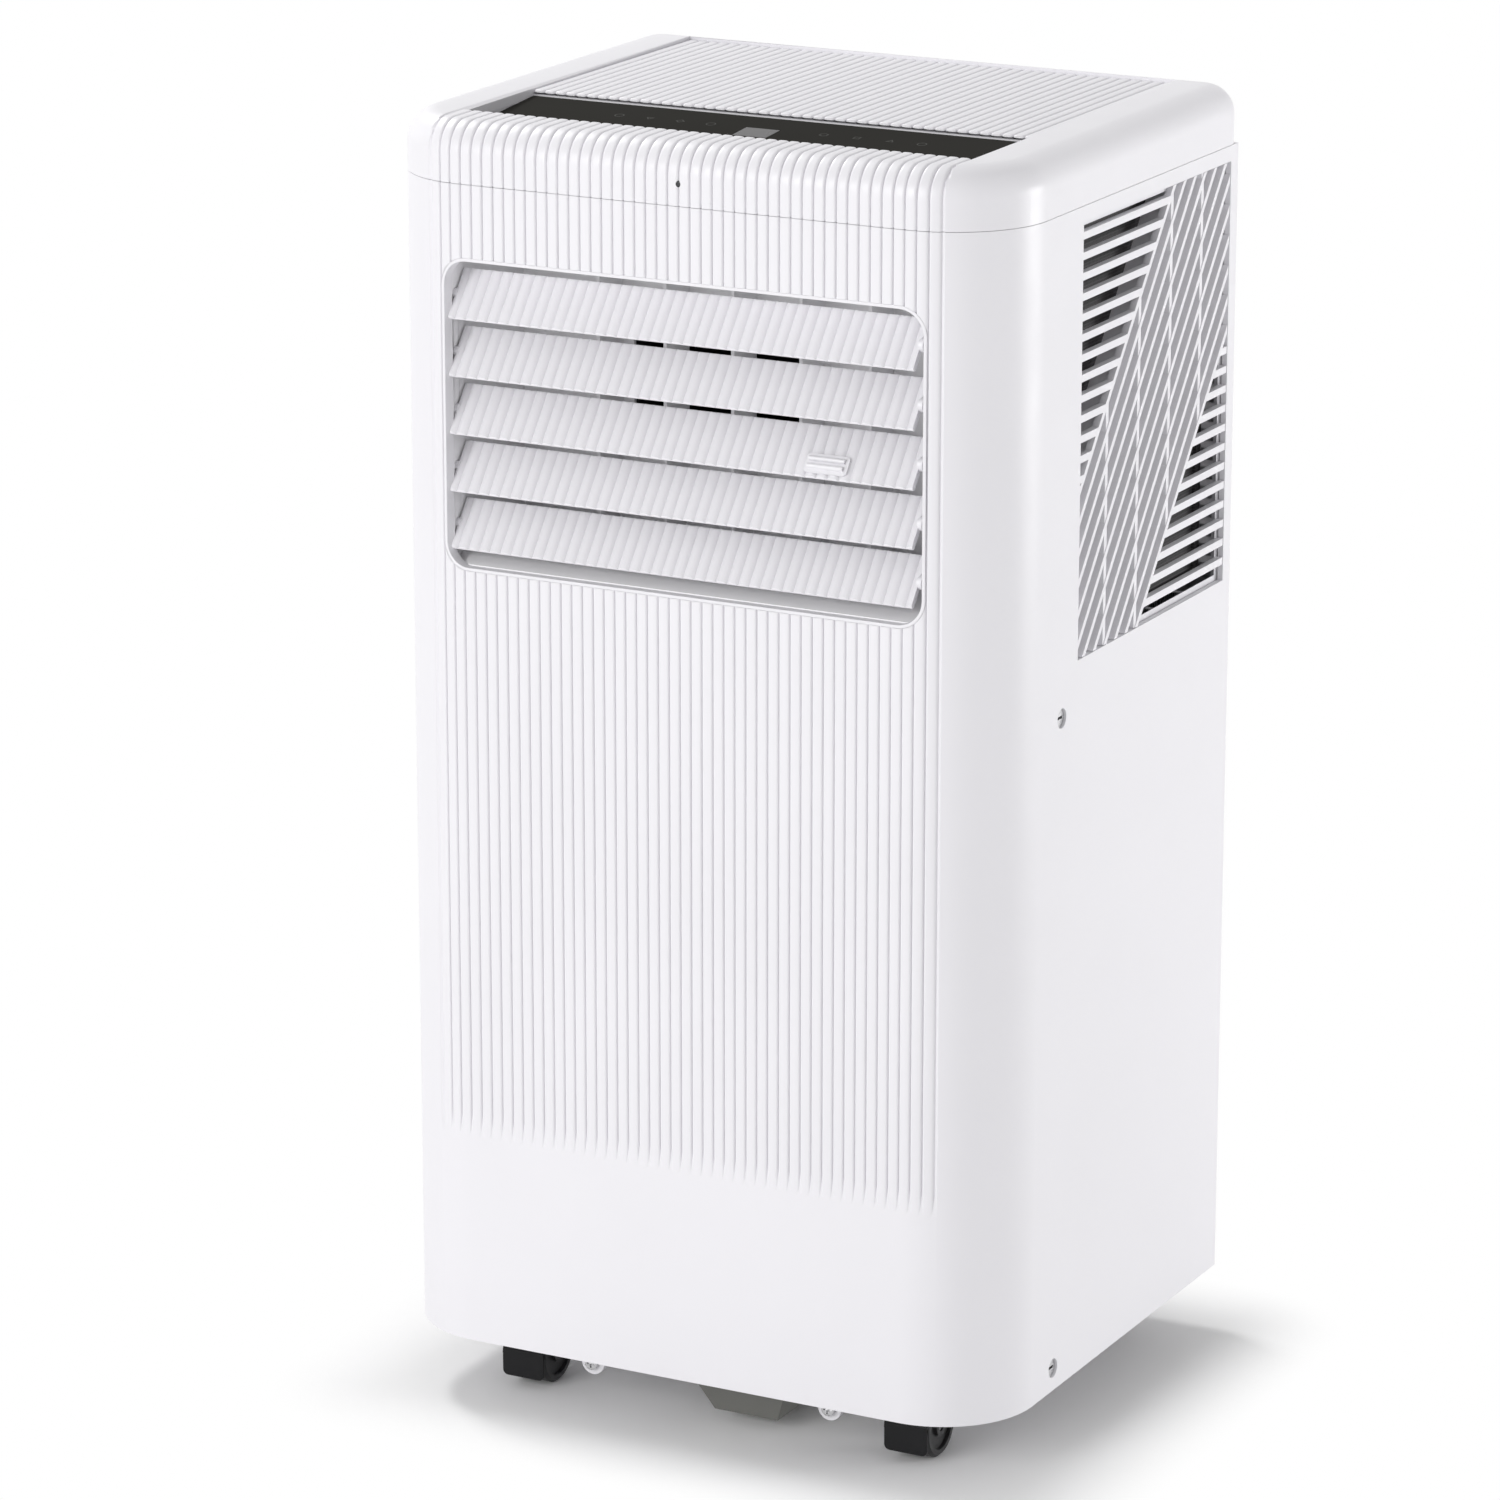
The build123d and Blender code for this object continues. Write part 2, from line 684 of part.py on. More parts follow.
def make_louver(index):
    """Ribbed blade with pivot pins and a crank at its right end."""
    left = -opening_width / 2 + louver_end_gap
    arm_x = opening_width / 2 + fit_gap - link_thick - crank_arm - 3 * louver_end_gap
    pin_end = opening_width / 2 + fit_gap + duct_wall
    section = Plane.YZ * Rot(0, 0, 90) * SlotOverall(louver_chord, louver_thick)
    blade = Pos(left, 0, 0) * extrude(section, amount=arm_x - left, dir=(1, 0, 0))
    ribs = rib_face(lambda x: -louver_thick / 2, -louver_thick)
    blade -= prism(ribs, -louver_chord, louver_chord)
    blade = Rot(louver_tilt - 90, 0, 0) * blade
    arm = Plane.YZ * Pos(crank_radius / 2, 0) * SlotCenterToCenter(crank_radius, crank_width)
    blade += Pos(arm_x, 0, 0) * extrude(arm, amount=crank_arm, dir=(1, 0, 0))
    blade += rod_x(pivot_diameter, arm_x - bite, pin_end, 0, 0)
    blade += rod_x(pivot_diameter, -pin_end, left + bite, 0, 0)
    link_end = arm_x + crank_arm + link_thick + 1.5 * louver_end_gap
    blade += rod_x(crank_pin, arm_x, link_end, crank_radius, 0)
    return Pos(0, pivot_y, louver_height(index)) * blade


def make_louver_link():
    """Flat bar that joins the cranks of the louvres."""
    x0 = opening_width / 2 + fit_gap - link_thick - 2.5 * louver_end_gap
    span = (louver_count - 1) * louver_pitch
    bar = Plane.YZ * Rot(0, 0, 90) * SlotCenterToCenter(span, link_width)
    for index in range(louver_count):
        middle = index == louver_count // 2
        play = running_gap if middle else link_slack
        place = (index - (louver_count - 1) / 2) * louver_pitch
        bar -= Plane.YZ * Pos(0, place) * Circle(crank_pin / 2 + play)
    link = Pos(x0, 0, 0) * extrude(bar, amount=link_thick, dir=(1, 0, 0))
    return Pos(0, pivot_y + crank_radius, opening_middle) * link


def make_louver_tab():
    """Thumb tab with two ridges on the middle louvre."""
    face = -louver_thick / 2
    low = -louver_chord / 2 + tab_inset
    x0 = tab_place - tab_width / 2
    x1 = tab_place + tab_width / 2
    pad = block(x0, x1, face - tab_pad, face, low, low + tab_length)
    pad = fillet(pad.edges().filter_by(Axis.Y), tab_corner)
    crest = face - tab_height + tab_ridge / 2
    for share in tab_ridge_shares:
        z = low + tab_length * share
        pad += rod_x(tab_ridge, x0 + tab_inset, x1 - tab_inset, crest, z)
        pad += block(
            x0 + tab_inset, x1 - tab_inset, crest, face - tab_pad / 2, z - tab_ridge / 2, z + tab_ridge / 2)
    return Pos(0, pivot_y, opening_middle) * Rot(louver_tilt - 90, 0, 0) * pad


def make_outlet_duct():
    """Box behind the louvres, with their pivot holes, a sloping sill and the fan's mouth."""
    half = opening_width / 2 + fit_gap
    y0 = front_y + duct_front
    outer = half + duct_wall
    duct = block(-outer, outer, y0, duct_back, opening_bottom - duct_wall, opening_top + duct_wall)
    duct -= block(-half, half, y0 - bite, duct_back - duct_wall, opening_bottom, opening_top)
    sill = Plane.YZ * Polygon(
        (y0, opening_bottom - sill_edge), (y0 + sill_length, opening_bottom - sill_edge),
        (y0 + sill_length, opening_bottom + sill_rise), (y0, opening_bottom + sill_edge), align=None)
    duct += Pos(-half - bite, 0, 0) * extrude(sill, amount=2 * (half + bite), dir=(1, 0, 0))
    for index in range(louver_count):
        duct -= rod_x(pivot_diameter + 2 * running_gap, -reach, reach, pivot_y, louver_height(index))
    top = blower_axis[1] + scroll_radius
    duct -= block(
        blower_x[0] + scroll_wall, blower_x[1] - scroll_wall, duct_back - 2 * duct_wall, duct_back + bite,
        top - blower_outlet + scroll_wall, top - scroll_wall)
    return duct


def make_guide_vanes():
    """Upright vanes behind the louvres, held by two ties."""
    y1 = duct_back - duct_wall - fit_gap
    y0 = y1 - vane_depth
    span = (vane_count - 1) * vane_pitch
    vanes = block(-span / 2, span / 2, y1 - vane_tie, y1, opening_top - 2 * vane_tie, opening_top - vane_tie)
    vanes += block(
        -span / 2, span / 2, y1 - vane_tie, y1, opening_bottom + 3 * vane_tie, opening_bottom + 4 * vane_tie)
    for index in range(vane_count):
        x = index * vane_pitch - span / 2
        vanes += block(
            x - vane_thick / 2, x + vane_thick / 2, y0, y1, opening_bottom + fit_gap, opening_top - fit_gap)
    return vanes


def make_base_pan():
    """Tray with castor sockets, screw ears, a sump hole and the drain spout."""
    outer = wall + fit_gap
    pan = prism(body_outline(outer), pan_floor, pan_top)
    pan += band(outer, outer + pan_wall, pan_floor, pan_floor + pan_rim)
    ear_y = front_y + ear_inset
    for side in (-1, 1):
        x = side * ear_place
        centre = pan_floor - ear_drop
        ear = rod_y(2 * ear_radius, ear_y, ear_y + ear_thick, x, centre)
        ear += block(x - ear_radius, x + ear_radius, ear_y, ear_y + ear_thick, centre, pan_floor + bite)
        ear -= rod_y(ear_hole, 2 * front_y, 0, x, centre)
        pan += ear
    for x in (-castor_x, castor_x):
        for y in castor_y:
            pan += rod_z(boss_diameter, pan_floor, pan_floor + pan_rim, x, y)
            pan -= rod_z(
                stem_diameter + 2 * running_gap, 0, pan_floor + stem_length - pan_thick, x, y)
    sump_y = front_y + sump_inset
    sump_half = sump_width / 2 - sump_land
    pan -= block(
        sump_place - sump_half, sump_place + sump_half, sump_y + sump_land,
        sump_y + sump_length - sump_land, 0, pan_top + bite)
    spout_y = back_y - wall - fit_gap - lip_thick - spout_length
    pan += rod_y(drain_diameter, spout_y, back_y, sump_place, drain_height)
    pan -= rod_y(drain_diameter - 2 * drain_wall, spout_y - bite, back_y + bite, sump_place, drain_height)
    for side in (-1, 1):
        face = side * half_width
        pan -= rod_x(screw_cup + 2 * fit_gap, face - side * 2 * screw_depth, face, screw_y, screw_heights[0])
    return pan


def make_base_screws():
    """Screws through the two ears."""
    ear_y = front_y + ear_inset
    centre = pan_floor - ear_drop
    screws = []
    for side in (-1, 1):
        x = side * ear_place
        head = rod_y(ear_screw_head, ear_y - ear_screw_rise, ear_y, x, centre)
        for half_x, half_z in ((ear_screw_head / 3, screw_slot / 2), (screw_slot / 2, ear_screw_head / 3)):
            head -= block(
                x - half_x, x + half_x, ear_y - 2 * ear_screw_rise, ear_y - ear_screw_rise / 2,
                centre - half_z, centre + half_z)
        screws.append(head + rod_y(ear_screw_shank, ear_y - bite, ear_y + ear_screw_length, x, centre))
    return Compound(screws)


def make_drain_sump():
    """Tapered dish under the pan."""
    y = front_y + sump_inset + sump_length / 2

    def dish(inset, top, bottom):
        size = (sump_width - 2 * inset, sump_length - 2 * inset)
        upper = Pos(sump_place, y, top) * Rectangle(*size)
        lower = Pos(sump_place, y, bottom) * Rectangle(size[0] - 2 * sump_draft, size[1] - 2 * sump_draft)
        return loft([upper, lower], ruled=True)

    bottom = pan_floor - sump_depth
    return dish(0, pan_floor, bottom) - dish(sump_wall, pan_floor, bottom + sump_wall)


def make_drain_plug():
    """Rubber plug of the drain, with two sealing rings."""
    bore = drain_diameter - 2 * drain_wall
    end = back_y - plug_sink
    plug = rod_y(bore - 2 * fit_gap, end - plug_length, end, sump_place, drain_height)
    for depth in plug_rings:
        y = back_y - depth
        plug += rod_y(bore - fit_gap, y - plug_ring / 2, y + plug_ring / 2, sump_place, drain_height)
    return plug


def castor_parts(x, y):
    """Hood, stem, wheels and axle of one castor, trailing to the back."""
    radius = wheel_diameter / 2
    axle_y = y + castor_trail
    outer = radius + hood_gap + hood_thick
    arch = rod_x(2 * outer, x - hood_width / 2, x + hood_width / 2, axle_y, radius)
    arch &= block(-reach, reach, -reach, reach, radius + hood_edge, reach)
    arch += rod_x(2 * (radius - web_inset), x - web_thick / 2, x + web_thick / 2, axle_y, radius)
    arch += rod_z(2 * stem_diameter, radius + hood_edge, pan_floor - fit_gap, x, y)
    for side in (-1, 1):
        inner = x + side * web_thick / 2
        arch -= rod_x(2 * (radius + hood_gap), inner, inner + side * hood_width, axle_y, radius)
    arch -= rod_x(axle_diameter + 2 * running_gap, x - reach, x + reach, axle_y, radius)
    seat = wheel_diameter + hood_gap
    arch -= rod_z(stem_diameter + 2 * running_gap, seat, reach, x, y)
    stem = rod_z(stem_diameter, seat, pan_floor + stem_length - pan_thick - bite, x, y)
    tread = Cylinder(radius, wheel_width)
    tread = chamfer(tread.edges().filter_by(GeomType.CIRCLE), tread_bevel)
    dish = Cylinder(radius - rim_thick, 2 * hub_recess) - Cylinder(axle_diameter, 2 * hub_recess)
    tread -= Pos(0, 0, wheel_width / 2) * dish
    tread -= Cylinder(axle_diameter / 2 + running_gap, 2 * wheel_width)
    right = Pos(x + wheel_gap / 2 + wheel_width / 2, axle_y, radius) * Rot(0, 90, 0) * tread
    left = Pos(x - wheel_gap / 2 - wheel_width / 2, axle_y, radius) * Rot(0, -90, 0) * tread
    axle_half = wheel_gap / 2 + wheel_width - bite
    axle = rod_x(axle_diameter, x - axle_half, x + axle_half, axle_y, radius)
    return arch, stem, Compound([right, left]), axle


def scroll_face(axis, outlet_y, outlet_height, inset):
    """Side view of a fan housing: a round case with a straight mouth."""
    y, z = axis
    case = Pos(y, z) * Circle(scroll_radius - inset)
    top = z + scroll_radius - inset
    low = z + scroll_radius - outlet_height + inset
    mouth_y = outlet_y if inset == 0 else outlet_y + math.copysign(bite, outlet_y - y)
    return case + Pos((y + mouth_y) / 2, (top + low) / 2) * Rectangle(abs(mouth_y - y), top - low)


def make_scroll(x_range, axis, outlet_y, outlet_height, motor_side):
    """Fan housing with an inlet ring on one side and a motor hole on the other."""
    x0, x1 = x_range
    case = Pos(x0, 0, 0) * extrude(
        Plane.YZ * scroll_face(axis, outlet_y, outlet_height, 0), amount=x1 - x0, dir=(1, 0, 0))
    case -= Pos(x0 + scroll_wall, 0, 0) * extrude(
        Plane.YZ * scroll_face(axis, outlet_y, outlet_height, scroll_wall), amount=x1 - x0 - 2 * scroll_wall,
        dir=(1, 0, 0))
    motor_x = x1 if motor_side > 0 else x0
    inlet_x = x0 if motor_side > 0 else x1
    through = scroll_wall + bite
    case -= rod_x(inlet_diameter, inlet_x - through, inlet_x + through, axis[0], axis[1])
    case -= rod_x(shaft_hole, motor_x - through, motor_x + through, axis[0], axis[1])
    return case


def make_fan(x_range, axis, motor_side, motor_length):
    """Squirrel-cage wheel on its shaft."""
    x0, x1 = x_range
    back_x = x1 - fan_inset if motor_side > 0 else x0 + fan_inset
    front_x = x0 + fan_inset if motor_side > 0 else x1 - fan_inset
    y, z = axis
    half = fan_plate / 2
    wheel = rod_x(fan_diameter, back_x - half, back_x + half, y, z)
    wheel += rod_x(fan_diameter, front_x - half, front_x + half, y, z) - rod_x(
        fan_diameter - 2 * blade_length, front_x - fan_plate, front_x + fan_plate, y, z)
    low, high = sorted((back_x, front_x))
    blade = Pos(0, 0, fan_diameter / 2 - blade_length / 2) * Rot(blade_pitch, 0, 0) * Box(
        high - low, blade_thick, blade_length - 2 * blade_inset)
    for index in range(fan_blades):
        wheel += Pos((low + high) / 2, y, z) * Rot(360 / fan_blades * index, 0, 0) * blade
    motor_x = x1 if motor_side > 0 else x0
    shaft_end = motor_x + motor_side * motor_length / 2
    wheel += rod_x(hub_diameter, back_x - motor_side * hub_length, back_x, y, z)
    wheel += rod_x(shaft_diameter, back_x - motor_side * shaft_root, shaft_end, y, z)
    return wheel


def make_motor(x_range, axis, motor_side, motor_length):
    """Motor on the side of a fan housing, bored for the fan's shaft."""
    face = x_range[1] if motor_side > 0 else x_range[0]
    far = face + motor_side * motor_length
    y, z = axis
    motor = rod_x(motor_diameter, face, far - motor_side * motor_nose, y, z)
    motor = chamfer(motor.edges().filter_by(GeomType.CIRCLE), motor_bevel)
    motor += rod_x(motor_diameter / 2, far - motor_side * (motor_nose + bite), far, y, z)
    arm = Pos(0, 0, motor_diameter / 2 + motor_arm[0]) * Box(*motor_arm)
    for index in range(motor_arms):
        motor += Pos(face + motor_side * motor_arm[0] / 2, y, z) * Rot(360 / motor_arms * index, 0, 0) * arm
    return motor - rod_x(
        shaft_diameter + 2 * running_gap, face - motor_side * bite,
        face + motor_side * (motor_length / 2 + bite), y, z)


def make_exhaust_housing():
    """Lower fan housing on two legs."""
    outlet_y = back_y - collar_length - fit_gap
    case = make_scroll(exhaust_x, exhaust_axis, outlet_y, exhaust_outlet, 1)
    y, z = exhaust_axis
    for x in (exhaust_x[0] + leg_inset, exhaust_x[1] - leg_inset - leg_thick):
        leg = block(x, x + leg_thick, y - leg_half, y + leg_half, pan_top, z - scroll_radius + leg_lap)
        case += leg - rod_x(2 * (scroll_radius - scroll_wall), x - bite, x + leg_thick + bite, y, z)
    return case


def make_exhaust_collar():
    """Round outlet behind the rear cover for the hose."""
    y0 = back_y - collar_length
    tube = rod_y(hose_bore + 2 * collar_thick, y0, back_y - collar_sink, exhaust_middle, exhaust_height)
    flange_y = back_y - wall - fit_gap
    tube += rod_y(collar_flange, flange_y - collar_thick, flange_y, exhaust_middle, exhaust_height)
    return tube - rod_y(hose_bore, 0, reach, exhaust_middle, exhaust_height)


def make_deck():
    """Shelf between the upper and the lower works, with a rim and a pipe hole."""
    inset = wall + fit_gap
    deck = prism(body_outline(inset), deck_height, deck_top) & block(
        -reach, reach, -reach, split_y - lip_reach - fit_gap, 0, body_top)
    rim_x = evaporator_x[0] - deck_rim_gap
    deck += block(rim_x - deck_rim_thick, rim_x, *evaporator_y, deck_height, deck_top + deck_rim_height)
    x, y = suction_place
    return deck - rod_z(pipe_diameter + 2 * pipe_hole_gap, 0, body_top, x, y)


def make_coil(x_range, y_range, z0, z1, across):
    """Fin pack with end plates and the return bends of its tube."""
    x0, x1 = x_range
    y0, y1 = y_range
    pack = block(x0, x1, y0, y1, z0, z1)
    low, high = (y0, y1) if across == "x" else (x0, x1)
    count = int((high - low) / coil_fin_pitch) - 1
    slot_z = (z0 + coil_plate, z1 - coil_plate)
    for index in range(count):
        place = low + coil_fin_pitch * (index + 1)
        if across == "x":
            pack -= block(x1 - coil_slot_depth, x1 + bite, place, place + coil_slot, *slot_z)
        else:
            pack -= block(place, place + coil_slot, y1 - coil_slot_depth, y1 + bite, *slot_z)
    pitch = (z1 - z0) / coil_rows
    for index in range(coil_rows):
        z = z0 + pitch * (index + 0.5)
        middle_x = (x0 + x1) / 2
        middle_y = (y0 + y1) / 2
        place = (middle_x, y0, z) if across == "x" else (x0, middle_y, z)
        turn = Rot(0, 0, -90) if across == "x" else Rot(0, 0, 180)
        ring = Torus(pitch / 4, coil_tube / 2) & block(0, reach, -reach, reach, -reach, reach)
        pack += Pos(*place) * turn * Rot(90, 0, 0) * ring
    return pack


def foot_places():
    """Plan places of the compressor's feet."""
    turns = [math.radians(360 / foot_count * index) for index in range(foot_count)]
    x, y = compressor_place
    return [(x + foot_circle / 2 * math.cos(turn), y + foot_circle / 2 * math.sin(turn)) for turn in turns]


def make_compressor():
    """Domed compressor on a three-cornered foot plate, with its accumulator."""
    x, y = compressor_place
    z0 = compressor_base
    radius = compressor_diameter / 2
    can = rod_z(compressor_diameter, z0 + foot_plate, z0 + foot_plate + compressor_height, x, y)
    can = fillet(can.edges().filter_by(GeomType.CIRCLE), radius * dome_share)
    can += rod_z(compressor_diameter * skirt_share, z0, z0 + skirt_height, x, y)
    plate = RegularPolygon(foot_circle / 2 + foot_plate_reach, foot_count)
    plate = fillet(plate.vertices(), foot_plate_corner)
    plate = Pos(x, y, z0) * extrude(plate, amount=foot_plate)
    for foot_x, foot_y in foot_places():
        plate -= rod_z(foot_hole, 0, reach, foot_x, foot_y)
    tank_x, tank_y = suction_place
    bottom = accumulator_top - accumulator_height
    tank = rod_z(accumulator_diameter, bottom, accumulator_top, tank_x, tank_y)
    tank = fillet(tank.edges().filter_by(GeomType.CIRCLE), accumulator_round)
    tank += rod_y(pipe_diameter, y, tank_y, x, bottom + accumulator_link)
    return can + plate + tank


def make_compressor_feet():
    """Rubber feet between the compressor and the pan."""
    rise, height, depth = foot_groove
    low = pan_top + rise
    feet = []
    for x, y in foot_places():
        foot = rod_z(foot_diameter, pan_top, compressor_base, x, y)
        core = rod_z(foot_diameter - 2 * depth, low - bite, low + height + bite, x, y)
        feet.append(foot - (rod_z(foot_diameter + bite, low, low + height, x, y) - core))
    return Compound(feet)


def pipe(points):
    """Copper pipe along straight runs with bends."""
    path = FilletPolyline(*points, radius=pipe_bend)
    section = Plane(path @ 0, z_dir=path % 0) * Circle(pipe_diameter / 2)
    return sweep(section, path=path)


def make_suction_pipe():
    """Pipe from the evaporator down to the accumulator."""
    x, y = suction_place
    level = deck_top + pipe_bend + pipe_run
    return pipe([(x, y, accumulator_top), (x, y, level), (evaporator_x[0], y, level)])


def make_discharge_pipe():
    """Pipe from the compressor to the condenser."""
    x = compressor_place[0] - discharge_offset
    y = compressor_place[1]
    top = compressor_base + foot_plate + compressor_height
    level = top + pipe_bend + 2 * pipe_run
    return pipe([(x, y, top), (x, y, level), (x, condenser_y[0], level)])


def make_electrical_box():
    """Box of the power electronics, with a lid flange."""
    width, depth, height = electrical_size
    x, y = electrical_place
    box = block(x - width / 2, x + width / 2, y - depth / 2, y + depth / 2, deck_top, deck_top + height)
    box = fillet(box.edges().filter_by(Axis.Z), box_corner)
    top = deck_top + height
    half_x = width / 2 + lid_reach
    half_y = depth / 2 + lid_reach
    lid = block(x - half_x, x + half_x, y - half_y, y + half_y, top - bite, top + lid_thick)
    return box + fillet(lid.edges().filter_by(Axis.Z), box_corner)


def make_capacitor():
    """Run capacitor with its two tabs."""
    x, y = capacitor_place
    top = deck_top + capacitor_height
    can = rod_z(capacitor_diameter, deck_top, top, x, y)
    can = chamfer(can.edges().filter_by(GeomType.CIRCLE).group_by(Axis.Z)[-1], capacitor_bevel)
    width, thick, rise = capacitor_tab
    for side in (-1, 1):
        middle = x + side * capacitor_tab_place
        can += block(
            middle - width / 2, middle + width / 2, y - thick / 2, y + thick / 2, top - bite, top + rise)
    return can


def make_cord_gland():
    """Bush of the mains inlet in the rear cover."""
    x, z = gland_place
    bush = rod_y(gland_diameter - 2 * fit_gap, back_y - gland_length, back_y - gland_sink, x, z)
    inner = back_y - wall - fit_gap
    bush += rod_y(gland_flange, inner - gland_flange_thick, inner, x, z)
    return bush - rod_y(gland_bore, 0, reach, x, z)


pieces = {
    "front_shell": make_front_shell(),
    "side_grille": make_side_grille(),
    "side_filter": make_side_filter(),
    "rear_cover": make_rear_cover(),
    "rear_grille": make_rear_grille(),
    "top_cover": make_top_cover(),
    "control_panel": make_control_panel(),
    "display_window": make_display_window(),
    "control_board": make_control_board(),
    "sensor_lens": make_sensor_lens(),
    "outlet_duct": make_outlet_duct(),
    "guide_vanes": make_guide_vanes(),
    "louver_link": make_louver_link(),
    "louver_tab": make_louver_tab(),
    "base_pan": make_base_pan(),
    "base_screws": make_base_screws(),
    "shell_screws": make_shell_screws(),
    "drain_sump": make_drain_sump(),
    "drain_plug": make_drain_plug(),
    "partition_deck": make_deck(),
    "blower_housing": make_scroll(blower_x, blower_axis, duct_back, blower_outlet, -1),
    "blower_wheel": make_fan(blower_x, blower_axis, -1, blower_motor_length),
    "blower_motor": make_motor(blower_x, blower_axis, -1, blower_motor_length),
    "exhaust_housing": make_exhaust_housing(),
    "exhaust_wheel": make_fan(exhaust_x, exhaust_axis, 1, exhaust_motor_length),
    "exhaust_motor": make_motor(exhaust_x, exhaust_axis, 1, exhaust_motor_length),
    "exhaust_collar": make_exhaust_collar(),
    "evaporator_coil": make_coil(evaporator_x, evaporator_y, deck_top, evaporator_top, "x"),
    "condenser_coil": make_coil(condenser_x, condenser_y, pan_top, condenser_top, "y"),
    "compressor": make_compressor(),
    "compressor_feet": make_compressor_feet(),
    "suction_pipe": make_suction_pipe(),
    "discharge_pipe": make_discharge_pipe(),
    "electrical_box": make_electrical_box(),
    "capacitor": make_capacitor(),
    "cord_gland": make_cord_gland(),
}
for number in range(louver_count):
    pieces["louver_%d" % (number + 1)] = make_louver(number)
corners = {
    "front_left": (-castor_x, castor_y[0]),
    "front_right": (castor_x, castor_y[0]),
    "rear_left": (-castor_x, castor_y[1]),
    "rear_right": (castor_x, castor_y[1]),
}
for corner, (corner_x, corner_y) in corners.items():
    hood, stem, wheels, axle = castor_parts(corner_x, corner_y)
    pieces["castor_hood_" + corner] = hood
    pieces["castor_stem_" + corner] = stem
    pieces["castor_wheels_" + corner] = wheels
    pieces["castor_axle_" + corner] = axle

os.makedirs("parts", exist_ok=True)
for name, solid in pieces.items():
    export_step(solid, "parts/%s.step" % name)
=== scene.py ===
import json
import math
from contextlib import contextmanager

import bmesh
import bpy
from mathutils import Matrix, Vector


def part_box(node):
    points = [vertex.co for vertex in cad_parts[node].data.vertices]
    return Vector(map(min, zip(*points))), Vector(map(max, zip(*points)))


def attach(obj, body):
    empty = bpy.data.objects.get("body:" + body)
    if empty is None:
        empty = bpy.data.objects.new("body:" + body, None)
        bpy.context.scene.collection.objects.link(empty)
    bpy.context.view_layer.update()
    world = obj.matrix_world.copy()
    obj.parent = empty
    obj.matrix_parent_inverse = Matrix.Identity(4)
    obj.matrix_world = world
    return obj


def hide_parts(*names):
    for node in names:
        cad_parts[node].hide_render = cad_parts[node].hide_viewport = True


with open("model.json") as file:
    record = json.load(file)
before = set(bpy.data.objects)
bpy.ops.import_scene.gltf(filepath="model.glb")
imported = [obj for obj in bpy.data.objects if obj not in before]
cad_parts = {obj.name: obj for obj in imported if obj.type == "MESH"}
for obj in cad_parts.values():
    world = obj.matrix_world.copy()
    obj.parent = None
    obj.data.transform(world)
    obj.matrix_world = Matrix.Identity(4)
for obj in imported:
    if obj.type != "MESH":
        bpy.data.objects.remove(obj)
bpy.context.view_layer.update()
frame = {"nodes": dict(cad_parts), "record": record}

bl_info = {
    "name": "Portable Air Conditioner",
    "version": (1, 0, 0),
    "blender": (4, 5, 0),
    "location": "View3D > Sidebar > Air Conditioner",
    "description": "Dresses the packed air conditioner with its mouldings, finishes and studio",
    "category": "Object",
}

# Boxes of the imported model, in metres: X to the right, Y to the back, Z up
SHELL_LOW, SHELL_HIGH = map(Vector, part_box("front_shell"))
COVER_LOW, COVER_HIGH = map(Vector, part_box("top_cover"))
GRILLE_LOW, GRILLE_HIGH = map(Vector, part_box("side_grille"))
STRIP_LOW = Vector(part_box("control_panel")[0])

BODY_OF_NODE = {
    node: body for body, nodes in frame["record"]["behaviour"]["bodies"].items() for node in nodes}

MESH_STEP = 1e-5    # vertices of a copied node closer than this are one vertex

# Radii on the edges of dressed nodes, in metres
FINE_EDGE = 0.0003
SMALL_EDGE = 0.0004
WALL_EDGE = 0.0005
SUMP_EDGE = 0.0012

# An edge that turns by more than this is rounded, in radians
SHARP_TURN = math.radians(42)
MOULDED_TURN = math.radians(60)
RIM_TURN = math.radians(50)


def length(name, description, default, precision=5):
    """Length property in metres."""
    return bpy.props.FloatProperty(
        name=name, description=description, default=default, unit="LENGTH", precision=precision)


def colour(name, description, default):
    """Colour property."""
    return bpy.props.FloatVectorProperty(
        name=name, description=description, default=default, subtype="COLOR", size=3, min=0.0, max=1.0)


